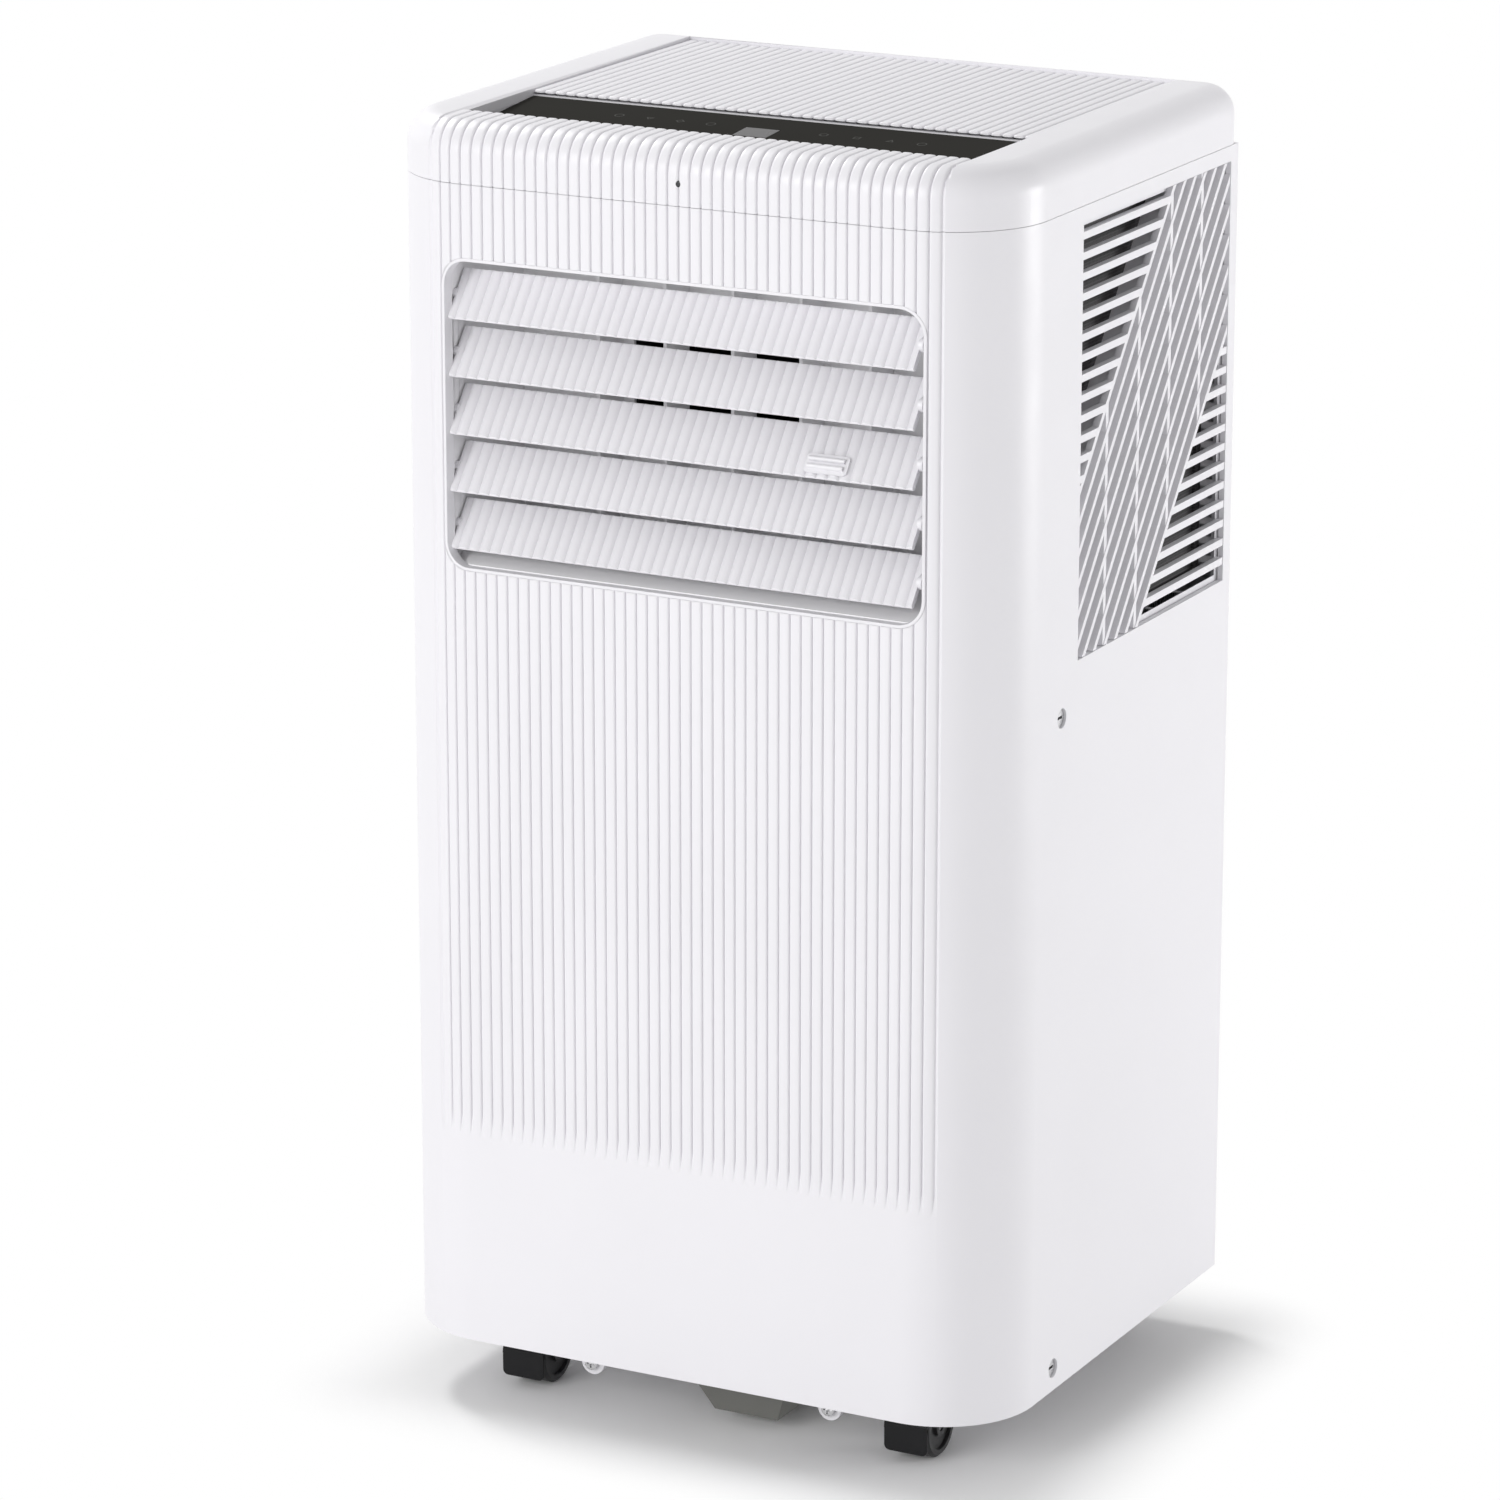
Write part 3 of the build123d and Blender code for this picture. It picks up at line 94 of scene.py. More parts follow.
class CabinetSizes(bpy.types.PropertyGroup):
    """Sizes of the mouldings that are made here"""

    rib_count: bpy.props.IntProperty(name="Ribs", description="Round ribs across the front", default=46)
    rib_pitch: length("Rib pitch", "Middle of one rib to the next", 0.00602)
    rib_depth: length("Rib depth", "Crest to valley", 0.0015)
    field_depth: length("Field depth", "Crest to valley of the ribs behind the strip", 0.0024)
    rib_flat: bpy.props.FloatProperty(
        name="Level crest", description="Share of a front rib's crest that is pressed level", default=0.92,
        subtype="FACTOR")
    field_flat: bpy.props.FloatProperty(
        name="Level field", description="Share of a field rib's crest that is pressed level", default=0.85,
        subtype="FACTOR")
    rib_end: length("Rib end", "Height where the ribs have faded out", 0.146)
    rib_fade: length("Rib fade", "Height over which the ribs fade out", 0.013)
    top_wall: length("Top wall", "Thickness of the top", 0.005)
    rib_skirt: length("Rib skirt", "How far a rib reaches into the wall behind its valleys", 0.0008)
    wall: length("Wall", "Thickness of the mouldings", 0.003)
    front_corner: length("Front corner", "Plan radius of the front corners", 0.05)
    back_corner: length("Back corner", "Plan radius of the back corners", 0.018)
    top_edge: length("Top edge", "Radius over the edge of the top", 0.015)
    seam_gap: length("Seam", "Open joint under the top cover", 0.00025)
    edge_round: length("Edge rounding", "Small radius on moulded edges", 0.0004)
    rim_round: length("Rim rounding", "Small radius on the outlet's rim", 0.00036)
    opening_width: length("Opening width", "Width of the air outlet", 0.261)
    opening_bottom: length("Opening bottom", "Lower edge of the air outlet", 0.444)
    opening_height: length("Opening height", "Height of the air outlet", 0.154)
    opening_corner: length("Opening corner", "Corner radius of the air outlet", 0.0125)
    rim_width: length("Rim", "Plain rim round the air outlet", 0.0017)
    window_edge: length("Window edge", "Edge of the side grille behind the window", 0.0027)
    screw_cup: length("Screw cup", "Diameter of a screw's recess", 0.010)
    screw_rise: bpy.props.FloatProperty(
        name="Screw rise", description="Length of a screw's head against the solid's", default=2.2)
    screw_spread: bpy.props.FloatProperty(
        name="Screw spread", description="Width of a screw's head against the solid's", default=1.19)
    screw_y: length("Screw place", "Screws of the sides, from the middle", -0.068)
    screw_low: length("Lower screw", "Height of the lower screws", 0.048)
    screw_high: length("Upper screw", "Height of the upper screws", 0.386)
    lip_back: length("Lip", "Back edge of the ribbed lip, from the middle", -0.107)
    strip_back: length("Strip back", "Back edge of the control strip, from the middle", -0.0375)
    field_back: length("Field back", "Back edge of the ribbed field, from the middle", 0.128)
    field_drop: length("Field drop", "Ribbed field below the frame of the top", 0.0015)
    field_round: length("Field edge", "Radius of the field's ribs over the strip's edge", 0.0014)
    lip_round: length("Lip edge", "Radius of the lip's ribs over the strip's edge", 0.0016)
    trough_gap: length("Trough gap", "Walls under the lid behind its edges", 0.0003)
    trough_drop: length("Trough drop", "Walls under the lid below its top", 0.004)
    slat_depth: length("Slat depth", "Depth of the side grille's level slats", 0.0036)
    grille_rim: length("Grille rim", "Border of the side grille behind the wall", 0.0034)
    band_front: length("Band front", "Height of the diagonal band at the window's front", 0.084)
    band_bottom: length("Band bottom", "Length of the window under the diagonal band", 0.0697)
    band_slope: bpy.props.FloatProperty(
        name="Band slope", description="Slope of the diagonal bars", default=math.radians(51), subtype="ANGLE")
    apron_drop: length("Apron drop", "Height of a castor's apron above the floor", 0.0062)
    apron_top: length("Apron top", "Upper edge of a castor's apron above the floor", 0.021)
    apron_wall: length("Apron wall", "Thickness of a castor's apron", 0.0018)
    apron_corner: length("Apron corner", "Radius of an apron's lower corners", 0.003)
    mark_size: length("Mark size", "Radius of the marks on the touch strip", 0.0026)
    mark_line: length("Mark line", "Width of a mark's outline", 0.000624, 6)
    mark_rise: length("Mark rise", "Height of a mark above the strip", 0.00004)
    mark_depth: length("Mark depth", "Thickness of a mark", 0.0001)
    mark_row: length("Mark row", "Place of the marks from front to back", -0.058)
    lens_radius: length("Lens radius", "Radius of the sensor's lens", 0.0016)
    lens_round: length("Lens rounding", "Radius of the lens's rim", 0.00056)


class Finishes(bpy.types.PropertyGroup):
    """Colours of the finishes"""

    white: colour("White", "Cabinet mouldings", (0.80, 0.79, 0.82))
    black: colour("Black strip", "Touch strip", (0.039, 0.038, 0.035))
    display: colour("Display", "Display window", (0.13, 0.127, 0.13))
    castor: colour("Castor", "Castors' hoods", (0.012, 0.012, 0.013))
    sump: colour("Sump", "Sump and deck", (0.16, 0.16, 0.145))
    duct: colour("Duct", "Exhaust housing", (0.34, 0.335, 0.345))
    fan: colour("Fan", "Fans and the blower's housing", (0.02, 0.02, 0.021))
    steel: colour("Steel", "Screws, pins and motors", (0.62, 0.62, 0.63))
    copper: colour("Copper", "Pipes", (0.72, 0.36, 0.20))


class Studio(bpy.types.PropertyGroup):
    """Camera and light"""

    azimuth: bpy.props.FloatProperty(
        name="Azimuth", description="Camera round the unit", default=math.radians(27.633), subtype="ANGLE")
    elevation: bpy.props.FloatProperty(
        name="Elevation", description="Camera above the horizon", default=math.radians(16.059), subtype="ANGLE")
    distance: length("Distance", "Camera to its aim", 3.27395)
    aim_side: length("Aim side", "Aim to the right of the middle", -0.03171)
    aim_height: length("Aim height", "Aim above the floor", 0.32991)
    lens: bpy.props.FloatProperty(name="Lens", description="Focal length in millimetres", default=154.253)
    shadow: length("Shadow", "Width of the shadow that shows round the cabinet's foot", 0.07)
    world: bpy.props.FloatProperty(name="World", description="Strength of the soft light all round", default=0.56)
    key: bpy.props.FloatProperty(name="Key", description="Lamp at the front left", default=48.0, unit="POWER")
    top: bpy.props.FloatProperty(name="Top", description="Lamp above the left", default=22.0, unit="POWER")
    side: bpy.props.FloatProperty(name="Side", description="Lamp at the right", default=42.0, unit="POWER")


def sizes():
    return bpy.context.scene.cabinet_sizes


def only(piece):
    """Makes a piece the one selected and active object."""
    bpy.ops.object.select_all(action="DESELECT")
    piece.select_set(True)
    bpy.context.view_layer.objects.active = piece


@contextmanager
def editing(piece):
    """Edit mode on one piece."""
    only(piece)
    bpy.ops.object.mode_set(mode="EDIT")
    yield
    bpy.ops.object.mode_set(mode="OBJECT")


def middle(element):
    """Middle of a vertex, edge or face."""
    if isinstance(element, bmesh.types.BMVert):
        return element.co
    total = Vector()
    for vertex in element.verts:
        total += vertex.co
    return total / len(element.verts)


def whole():
    """Selects all of the edited piece."""
    bpy.ops.mesh.select_all(action="SELECT")


def choose(piece, kind, test):
    """Selects the vertices, edges or faces of an edited piece that pass the test."""
    bpy.ops.mesh.select_mode(type=kind)
    bpy.ops.mesh.select_all(action="DESELECT")
    mesh = bmesh.from_edit_mesh(piece.data)
    for element in {"VERT": mesh.verts, "EDGE": mesh.edges, "FACE": mesh.faces}[kind]:
        if test(element):
            element.select_set(True)
    mesh.select_flush_mode()
    bmesh.update_edit_mesh(piece.data)


def upright(edge):
    """True for an edge along Z."""
    run = edge.verts[1].co - edge.verts[0].co
    return abs(run.z) > 0.9 * run.length


def cut(place, direction):
    """Adds a line of edges where a plane passes through the edited piece."""
    whole()
    bpy.ops.mesh.bisect(plane_co=place, plane_no=direction)


def block(name, low, high):
    """Box between two corners, with its place in its mesh."""
    low = Vector(low)
    high = Vector(high)
    bpy.ops.mesh.primitive_cube_add(size=1, location=(low + high) / 2)
    bpy.context.object.scale = high - low
    return added(name)


def settle(piece):
    """Puts a piece's place, turn and scale into its mesh."""
    only(piece)
    bpy.ops.object.transform_apply(location=True, rotation=True, scale=True)


def added(name):
    """The primitive that was added last, named, with its place in its mesh."""
    piece = bpy.context.object
    piece.name = name
    settle(piece)
    return piece


def modify(piece, kind, **settings):
    """Adds a modifier and applies it."""
    modifier = piece.modifiers.new(kind.title(), kind)
    for name, value in settings.items():
        setattr(modifier, name, value)
    only(piece)
    bpy.ops.object.modifier_apply(modifier=modifier.name)


def round_edges(piece, width, turn, segments=2, **settings):
    """Rounds the edges that turn by more than an angle."""
    modify(piece, "BEVEL", width=width, segments=segments, limit_method="ANGLE", angle_limit=turn, **settings)


def take_away(piece, cutter):
    """Cuts one closed piece out of another and deletes the cutter."""
    modify(piece, "BOOLEAN", object=cutter, operation="DIFFERENCE", solver="EXACT")
    bpy.data.objects.remove(cutter)


def join(piece, others):
    """Joins pieces into the first."""
    only(piece)
    for other in others:
        other.select_set(True)
    bpy.ops.object.join()


def hand_over(piece, finish, body, nodes=(), smooth=30.0):
    """Gives a finished piece its material and its body, and hides the nodes it stands for."""
    settle(piece)
    bpy.ops.object.shade_smooth_by_angle(angle=math.radians(smooth))
    modify(piece, "WEIGHTED_NORMAL", mode="FACE_AREA", weight=50, keep_sharp=True)
    piece.data.materials.clear()
    piece.data.materials.append(bpy.data.materials[finish])
    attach(piece, body)
    if nodes:
        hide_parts(*nodes)


def dress(node, finish, edge=0.0, smooth=30.0, shape=None):
    """Copies a CAD node, merges its triangles, rounds its edges and lets the copy stand for it.

    A shape is a function that changes the copy before its edges are rounded.
    """
    piece = bpy.data.objects.new(node + "_dressed", frame["nodes"][node].data.copy())
    bpy.context.scene.collection.objects.link(piece)
    with editing(piece):
        whole()
        bpy.ops.mesh.customdata_custom_splitnormals_clear()
        bpy.ops.mesh.remove_doubles(threshold=MESH_STEP)
    if shape:
        shape(piece)
    if edge:
        round_edges(piece, edge, SHARP_TURN, miter_outer="MITER_ARC")
    hand_over(piece, finish, BODY_OF_NODE[node], [node], smooth)
    return piece


# Finishes


def new_finish(name):
    """Makes a material and gives its node tree, its shader and its Object coordinates."""
    material = bpy.data.materials.new(name)
    material.use_nodes = True
    tree = material.node_tree
    place = tree.nodes.new("ShaderNodeTexCoord").outputs["Object"]
    return tree, tree.nodes["Principled BSDF"], place


def put(node, values):
    """Gives the inputs of a shader node their values."""
    for name, value in values.items():
        node.inputs[name].default_value = value


def noise(tree, place, scale, detail=2.0, stretch=None):
    """Noise value over the piece, stretched along an axis where a grain runs."""
    if stretch:
        mapping = tree.nodes.new("ShaderNodeMapping")
        mapping.inputs["Scale"].default_value = stretch
        tree.links.new(place, mapping.inputs["Vector"])
        place = mapping.outputs["Vector"]
    texture = tree.nodes.new("ShaderNodeTexNoise")
    put(texture, {"Scale": scale, "Detail": detail})
    tree.links.new(place, texture.inputs["Vector"])
    return texture.outputs["Fac"]


def spread(tree, value, low, high):
    """Maps the middle of a noise onto a range."""
    node = tree.nodes.new("ShaderNodeMapRange")
    put(node, {"From Min": 0.3, "From Max": 0.7, "To Min": low, "To Max": high})
    tree.links.new(value, node.inputs["Value"])
    return node.outputs["Result"]


def two_tone(tree, value, first, second):
    """Colour between two tones."""
    node = tree.nodes.new("ShaderNodeMix")
    node.data_type = "RGBA"
    tree.links.new(value, node.inputs["Factor"])
    node.inputs["A"].default_value = (*first, 1.0)
    node.inputs["B"].default_value = (*second, 1.0)
    return node.outputs["Result"]


def relief(tree, shader, value, strength, depth):
    """Bump on the shader's normal."""
    node = tree.nodes.new("ShaderNodeBump")
    put(node, {"Strength": strength, "Distance": depth})
    tree.links.new(value, node.inputs["Height"])
    tree.links.new(node.outputs["Normal"], shader.inputs["Normal"])


def moulded_plastic(name, tone, rough=(0.36, 0.46), grain=1400.0, strength=0.12, shift=0.03, gloss=0.5):
    """Injection moulded plastic: fine grain, slight unevenness of tone and polish."""
    tree, shader, place = new_finish(name)
    light = tuple(min(1.0, part * (1 + shift)) for part in tone)
    dark = tuple(part * (1 - shift) for part in tone)
    broad = spread(tree, noise(tree, place, 9.0, 3.0), 0.0, 1.0)
    tree.links.new(two_tone(tree, broad, dark, light), shader.inputs["Base Color"])
    tree.links.new(spread(tree, noise(tree, place, 38.0, 4.0), *rough), shader.inputs["Roughness"])
    relief(tree, shader, noise(tree, place, grain, 2.0), strength, 0.0002)
    shader.inputs["Specular IOR Level"].default_value = gloss


def turned_metal(name, tone, rough=(0.24, 0.4), stretch=(60.0, 60.0, 600.0)):
    """Bare metal with fine drawing or turning marks."""
    tree, shader, place = new_finish(name)
    shader.inputs["Metallic"].default_value = 1.0
    marks = noise(tree, place, 4.0, 3.0, stretch)
    dark = tuple(part * 0.86 for part in tone)
    tree.links.new(two_tone(tree, spread(tree, marks, 0.0, 1.0), dark, tone), shader.inputs["Base Color"])
    tree.links.new(spread(tree, marks, *rough), shader.inputs["Roughness"])
    relief(tree, shader, marks, 0.1, 0.0001)


def woven_filter(name, tone):
    """Fine square mesh, with painted shade in its holes."""
    tree, shader, place = new_finish(name)
    weave = tree.nodes.new("ShaderNodeTexBrick")
    weave.offset = 0.0
    # Painted shade: Color1 and Color2 colour the holes darker than the threads, standing for the shaded room behind
    # the mesh.
    put(weave, {
        "Scale": 1.0, "Brick Width": 0.0016, "Row Height": 0.0016, "Mortar Size": 0.00032, "Mortar Smooth": 0.4,
        "Color1": (*[part * 0.35 for part in tone], 1.0), "Color2": (*[part * 0.42 for part in tone], 1.0),
        "Mortar": (*tone, 1.0)})
    turn = tree.nodes.new("ShaderNodeMapping")
    turn.inputs["Rotation"].default_value = (0.0, math.radians(90), 0.0)
    tree.links.new(place, turn.inputs["Vector"])
    tree.links.new(turn.outputs["Vector"], weave.inputs["Vector"])
    tree.links.new(weave.outputs["Color"], shader.inputs["Base Color"])
    shader.inputs["Roughness"].default_value = 0.7
    relief(tree, shader, weave.outputs["Fac"], 0.5, 0.0004)


def fin_stack(name, tone, axis):
    """Thin aluminium fins side by side, with painted shade in the gaps between them."""
    tree, shader, place = new_finish(name)
    fins = tree.nodes.new("ShaderNodeTexWave")
    fins.wave_type = "BANDS"
    fins.bands_direction = axis
    put(fins, {"Scale": 190.0, "Distortion": 0.4})
    tree.links.new(place, fins.inputs["Vector"])
    # Painted shade: the gaps between the fins are coloured at a quarter of the fins' tone.
    dark = tuple(part * 0.25 for part in tone)
    tree.links.new(two_tone(tree, fins.outputs["Fac"], dark, tone), shader.inputs["Base Color"])
    shader.inputs["Metallic"].default_value = 0.9
    tree.links.new(spread(tree, noise(tree, place, 60.0), 0.3, 0.5), shader.inputs["Roughness"])
    relief(tree, shader, fins.outputs["Fac"], 0.6, 0.0006)


class AIRCON_OT_finishes(bpy.types.Operator):
    """Makes the finishes of the mouldings, metals and inner works"""

    bl_idname = "aircon.finishes"
    bl_label = "Finishes"

    def execute(self, context):
        tone = context.scene.cabinet_finishes
        moulded_plastic("cabinet_white", tone.white, (0.34, 0.44), strength=0.06, shift=0.008)
        moulded_plastic("blade_white", tone.white, (0.34, 0.44), strength=0.05, shift=0.008)
        # The duct's white is lighter than the cabinet's white: painted light that lifts the shaded duct and vanes
        # behind the louvres.
        moulded_plastic("duct_white", (0.92, 0.915, 0.93), (0.4, 0.5), strength=0.05, shift=0.008)
        moulded_plastic("mark_grey", (0.09, 0.09, 0.086), (0.4, 0.5), 900.0, 0.05, 0.08, gloss=0.0)
        moulded_plastic("strip_black", tone.black, (0.38, 0.46), 2200.0, 0.02, 0.05, gloss=0.0)
        moulded_plastic("display_smoke", tone.display, (0.22, 0.3), 2600.0, 0.03, 0.03, gloss=0.05)
        moulded_plastic("lens_dark", (0.02, 0.016, 0.018), (0.08, 0.14), 3000.0, 0.02, 0.1)
        moulded_plastic("duct_grey", tone.duct, (0.5, 0.62), 1500.0, 0.15, 0.04)
        moulded_plastic("vane_black", tone.fan, (0.4, 0.5), 1500.0, 0.12, 0.1)
        moulded_plastic("castor_nylon", tone.castor, (0.36, 0.48), 1700.0, 0.12, 0.12, gloss=0.18)
        moulded_plastic("tyre_nylon", (0.03, 0.03, 0.031), (0.38, 0.5), 1300.0, 0.2, 0.15, gloss=0.3)
        moulded_plastic("sump_grey", tone.sump, (0.5, 0.6), 1200.0, 0.2, 0.05)
        moulded_plastic("box_grey", (0.42, 0.43, 0.44), (0.45, 0.55), 1200.0, 0.15, 0.04)
        moulded_plastic("compressor_black", (0.014, 0.014, 0.015), (0.3, 0.5), 700.0, 0.3, 0.2)
        moulded_plastic("rubber_dark", (0.025, 0.025, 0.026), (0.6, 0.8), 900.0, 0.3, 0.15)
        moulded_plastic("board_green", (0.02, 0.12, 0.05), (0.3, 0.45), 1600.0, 0.1, 0.15)
        turned_metal("bright_steel", tone.steel)
        turned_metal("copper_tube", tone.copper, (0.2, 0.36))
        woven_filter("filter_mesh", (0.055, 0.053, 0.056))
        fin_stack("side_fins", (0.66, 0.67, 0.68), "Y")
        fin_stack("rear_fins", (0.66, 0.67, 0.68), "X")
        return {"FINISHED"}


# Ribs


def front_surface(x):
    """Y of the cabinet's front at x, round corners included."""
    corner = sizes().front_corner
    past_flat = abs(x) - (SHELL_HIGH.x - corner)
    if past_flat <= 0:
        return SHELL_LOW.y
    return SHELL_LOW.y + corner - math.sqrt(max(0.0, corner ** 2 - past_flat ** 2))


def rib_places():
    """X of the middle of each rib."""
    size = sizes()
    return [(index - (size.rib_count - 1) / 2) * size.rib_pitch for index in range(size.rib_count)]


def rib_half():
    return sizes().rib_count * sizes().rib_pitch / 2


def rib_section(name, depth, flat=0.0):
    """Section of one rib as a line of edges: crest at Y 0 and facing -Y, with short skirts behind.

    The crest is an arc, and flat is the share of it that is pressed level between narrow grooves.
    """
    size = sizes()
    radius = (size.rib_pitch ** 2 / 4 + depth ** 2) / (2 * depth)
    bpy.ops.mesh.primitive_circle_add(vertices=120, radius=radius, location=(0, radius, 0))
    piece = added(name)
    with editing(piece):
        whole()
        bpy.ops.mesh.bisect(plane_co=(0, depth, 0), plane_no=(0, 1, 0), clear_outer=True)
    for vertex in piece.data.vertices:
        fall = vertex.co.y / depth
        vertex.co.y = depth * ((1 - flat) * fall + flat * fall ** 3)
    with editing(piece):
        choose(piece, "VERT", lambda vertex: vertex.co.y > depth - MESH_STEP)
        bpy.ops.mesh.extrude_vertices_move(TRANSFORM_OT_translate={"value": (0, size.rib_skirt, 0)})
    return piece


def run_on(step):
    """Carries the selected edges on in a straight line."""
    bpy.ops.mesh.extrude_edges_move(TRANSFORM_OT_translate={"value": step})


def face_out(piece, direction):
    """Turns the faces of an open strip so that they look along a direction on the whole."""
    with editing(piece):
        whole()
        bpy.ops.mesh.normals_make_consistent(inside=False)
    total = Vector()
    for polygon in piece.data.polygons:
        total += polygon.normal * polygon.area
    if total.dot(Vector(direction)) < 0:
        with editing(piece):
            whole()
            bpy.ops.mesh.flip_normals()


def copies(pattern, places, shape):
    """One copy of a pattern for each place, with shape(place, point) giving where each point goes."""
    made = []
    for index, place in enumerate(places):
        piece = bpy.data.objects.new("%s_%d" % (pattern.name, index), pattern.data.copy())
        bpy.context.scene.collection.objects.link(piece)
        for vertex in piece.data.vertices:
            vertex.co = shape(place, vertex.co)
        made.append(piece)
    return made


def sink_ribs(piece, test):
    """Moves the part of a skin that carries ribs in by the depth of the valleys."""
    size = sizes()
    choose(piece, "VERT", lambda vertex: abs(vertex.co.x) < rib_half() + MESH_STEP and test(vertex.co))
    bpy.ops.transform.shrink_fatten(value=-size.rib_depth)


def rib_bounds():
    """Adds the edge lines where the ribs end to the left and right."""
    step = sizes().rib_depth
    for side in (-1, 1):
        for place in (rib_half(), rib_half() + step):
            cut((side * place, 0, 0), (1, 0, 0))


# Front moulding


def rim_reach(x):
    """Half height of the outlet's rim at x, or 0 beside it."""
    size = sizes()
    half = size.opening_width / 2 + size.rim_width
    corner = size.opening_corner + size.rim_width
    tall = size.opening_height / 2 + size.rim_width
    past_flat = abs(x) - (half - corner)
    if past_flat <= 0:
        return tall
    if past_flat >= corner:
        return 0.0
    return tall - corner + math.sqrt(corner ** 2 - past_flat ** 2)


def opening_outline(name, grow):
    """Flat face with the outlet's outline, on the front."""
    size = sizes()
    middle_z = size.opening_bottom + size.opening_height / 2
    bpy.ops.mesh.primitive_plane_add(
        size=1, location=(0, SHELL_LOW.y, middle_z), rotation=(math.radians(90), 0, 0))
    bpy.context.object.scale = (size.opening_width + 2 * grow, size.opening_height + 2 * grow, 1)
    piece = added(name)
    with editing(piece):
        choose(piece, "VERT", lambda vertex: True)
        bpy.ops.mesh.bevel(offset=size.opening_corner + grow, segments=10, affect="VERTICES")
    return piece


def front_skin():
    """Front and sides as a bent sheet, sunk where the ribs stand."""
    size = sizes()
    skin = block("front_moulding", SHELL_LOW, SHELL_HIGH)
    with editing(skin):
        choose(skin, "FACE", lambda face: abs(face.normal.z) > 0.9 or face.normal.y > 0.9)
        bpy.ops.mesh.delete(type="FACE")
        choose(skin, "EDGE", lambda edge: upright(edge) and middle(edge).y < 0)
        bpy.ops.mesh.bevel(offset=size.front_corner, segments=28, affect="EDGES")
        rib_bounds()
        for height in (size.rib_end, size.rib_end + size.rib_fade):
            cut((0, 0, height), (0, 0, 1))
        fade_top = size.rib_end + size.rib_fade - MESH_STEP
        sink_ribs(skin, lambda point: point.y < size.lip_back and point.z > fade_top)
        whole()
        bpy.ops.mesh.normals_make_consistent(inside=False)
    face_out(skin, (0, -1, 0))
    modify(skin, "SOLIDIFY", thickness=size.wall, offset=-1.0)
    return skin


def front_ribs():
    """Ribs of the front, parted by the outlet."""
    size = sizes()
    section = rib_section("front_rib", size.rib_depth, size.rib_flat)
    with editing(section):
        choose(section, "EDGE", lambda edge: True)
        run_on((0, 0, 1))
    face_out(section, (0, -1, 0))
    middle_z = size.opening_bottom + size.opening_height / 2

    def lower(x, point):
        at = x + point.x
        end = middle_z - rim_reach(at) if rim_reach(x) else SHELL_HIGH.z
        return (at, front_surface(at) + point.y, end if point.z > 0.5 else size.rib_end)

    def upper(x, point):
        at = x + point.x
        end = SHELL_HIGH.z if point.z > 0.5 else middle_z + rim_reach(at)
        return (at, front_surface(at) + point.y, end)

    places = rib_places()
    made = copies(section, places, lower)
    made += copies(section, [x for x in places if rim_reach(x)], upper)
    bpy.data.objects.remove(section)
    return made


def outlet_rim():
    """Plain rounded rim round the outlet."""
    size = sizes()
    rim = opening_outline("outlet_rim", size.rim_width)
    with editing(rim):
        whole()
        bpy.ops.mesh.inset(thickness=size.rim_width)
        bpy.ops.mesh.delete(type="FACE")
    face_out(rim, (0, -1, 0))
    for vertex in rim.data.vertices:
        vertex.co.y = front_surface(vertex.co.x)
    modify(rim, "SOLIDIFY", thickness=2 * size.wall, offset=-1.0)
    round_edges(rim, size.rim_round, RIM_TURN, 3)
    return rim


class AIRCON_OT_front_moulding(bpy.types.Operator):
    """Makes the front and sides with their ribs, the outlet's rim and the window for the side grille"""

    bl_idname = "aircon.front_moulding"
    bl_label = "Front Moulding"

    def execute(self, context):
        size = sizes()
        skin = front_skin()
        hole = opening_outline("outlet_cutter", size.rim_width / 2)
        modify(hole, "SOLIDIFY", thickness=8 * size.wall, offset=0.0)
        take_away(skin, hole)
        frame_edge = Vector((0, size.window_edge, size.window_edge))
        window_low = GRILLE_LOW + frame_edge
        window_high = GRILLE_HIGH - frame_edge
        window_low.x = SHELL_HIGH.x - 4 * size.wall
        window_high.x = SHELL_HIGH.x + size.wall
        take_away(skin, block("window_cutter", window_low, window_high))
        for side in (-1, 1):
            for height in (size.screw_low, size.screw_high):
                bpy.ops.mesh.primitive_cylinder_add(
                    vertices=40, radius=size.screw_cup / 2, depth=4 * size.wall,
                    location=(side * SHELL_HIGH.x, size.screw_y, height), rotation=(0, math.radians(90), 0))
                take_away(skin, bpy.context.object)
        round_edges(skin, size.edge_round, MOULDED_TURN)
        join(skin, front_ribs() + [outlet_rim()])
        hand_over(skin, "cabinet_white", "cabinet", ["front_shell"], 40.0)
        return {"FINISHED"}


# Top cover


def cover_skin():
    """Lid with round corners and a round edge, sunk where the lip's ribs stand."""
    size = sizes()
    low = Vector((COVER_LOW.x, COVER_LOW.y, SHELL_HIGH.z + size.seam_gap))
    lid = block("top_moulding", low, COVER_HIGH)
    with editing(lid):
        choose(lid, "FACE", lambda face: face.normal.z < -0.9)
        bpy.ops.mesh.delete(type="FACE")
        choose(lid, "EDGE", lambda edge: upright(edge) and middle(edge).y < 0)
        bpy.ops.mesh.bevel(offset=size.front_corner, segments=28, affect="EDGES")
        choose(lid, "EDGE", lambda edge: upright(edge) and middle(edge).y > COVER_HIGH.y - MESH_STEP)
        bpy.ops.mesh.bevel(offset=size.back_corner, segments=14, affect="EDGES")
        choose(lid, "EDGE", lambda edge: middle(edge).z > COVER_HIGH.z - MESH_STEP)
        bpy.ops.mesh.bevel(offset=size.top_edge, segments=12, affect="EDGES")
        rib_bounds()
        cut((0, size.lip_back, 0), (0, 1, 0))
        sink_ribs(lid, lambda point: point.y < size.lip_back + MESH_STEP)
    face_out(lid, (0, 0, 1))
    modify(lid, "SOLIDIFY", thickness=size.top_wall, offset=-1.0)
    return lid


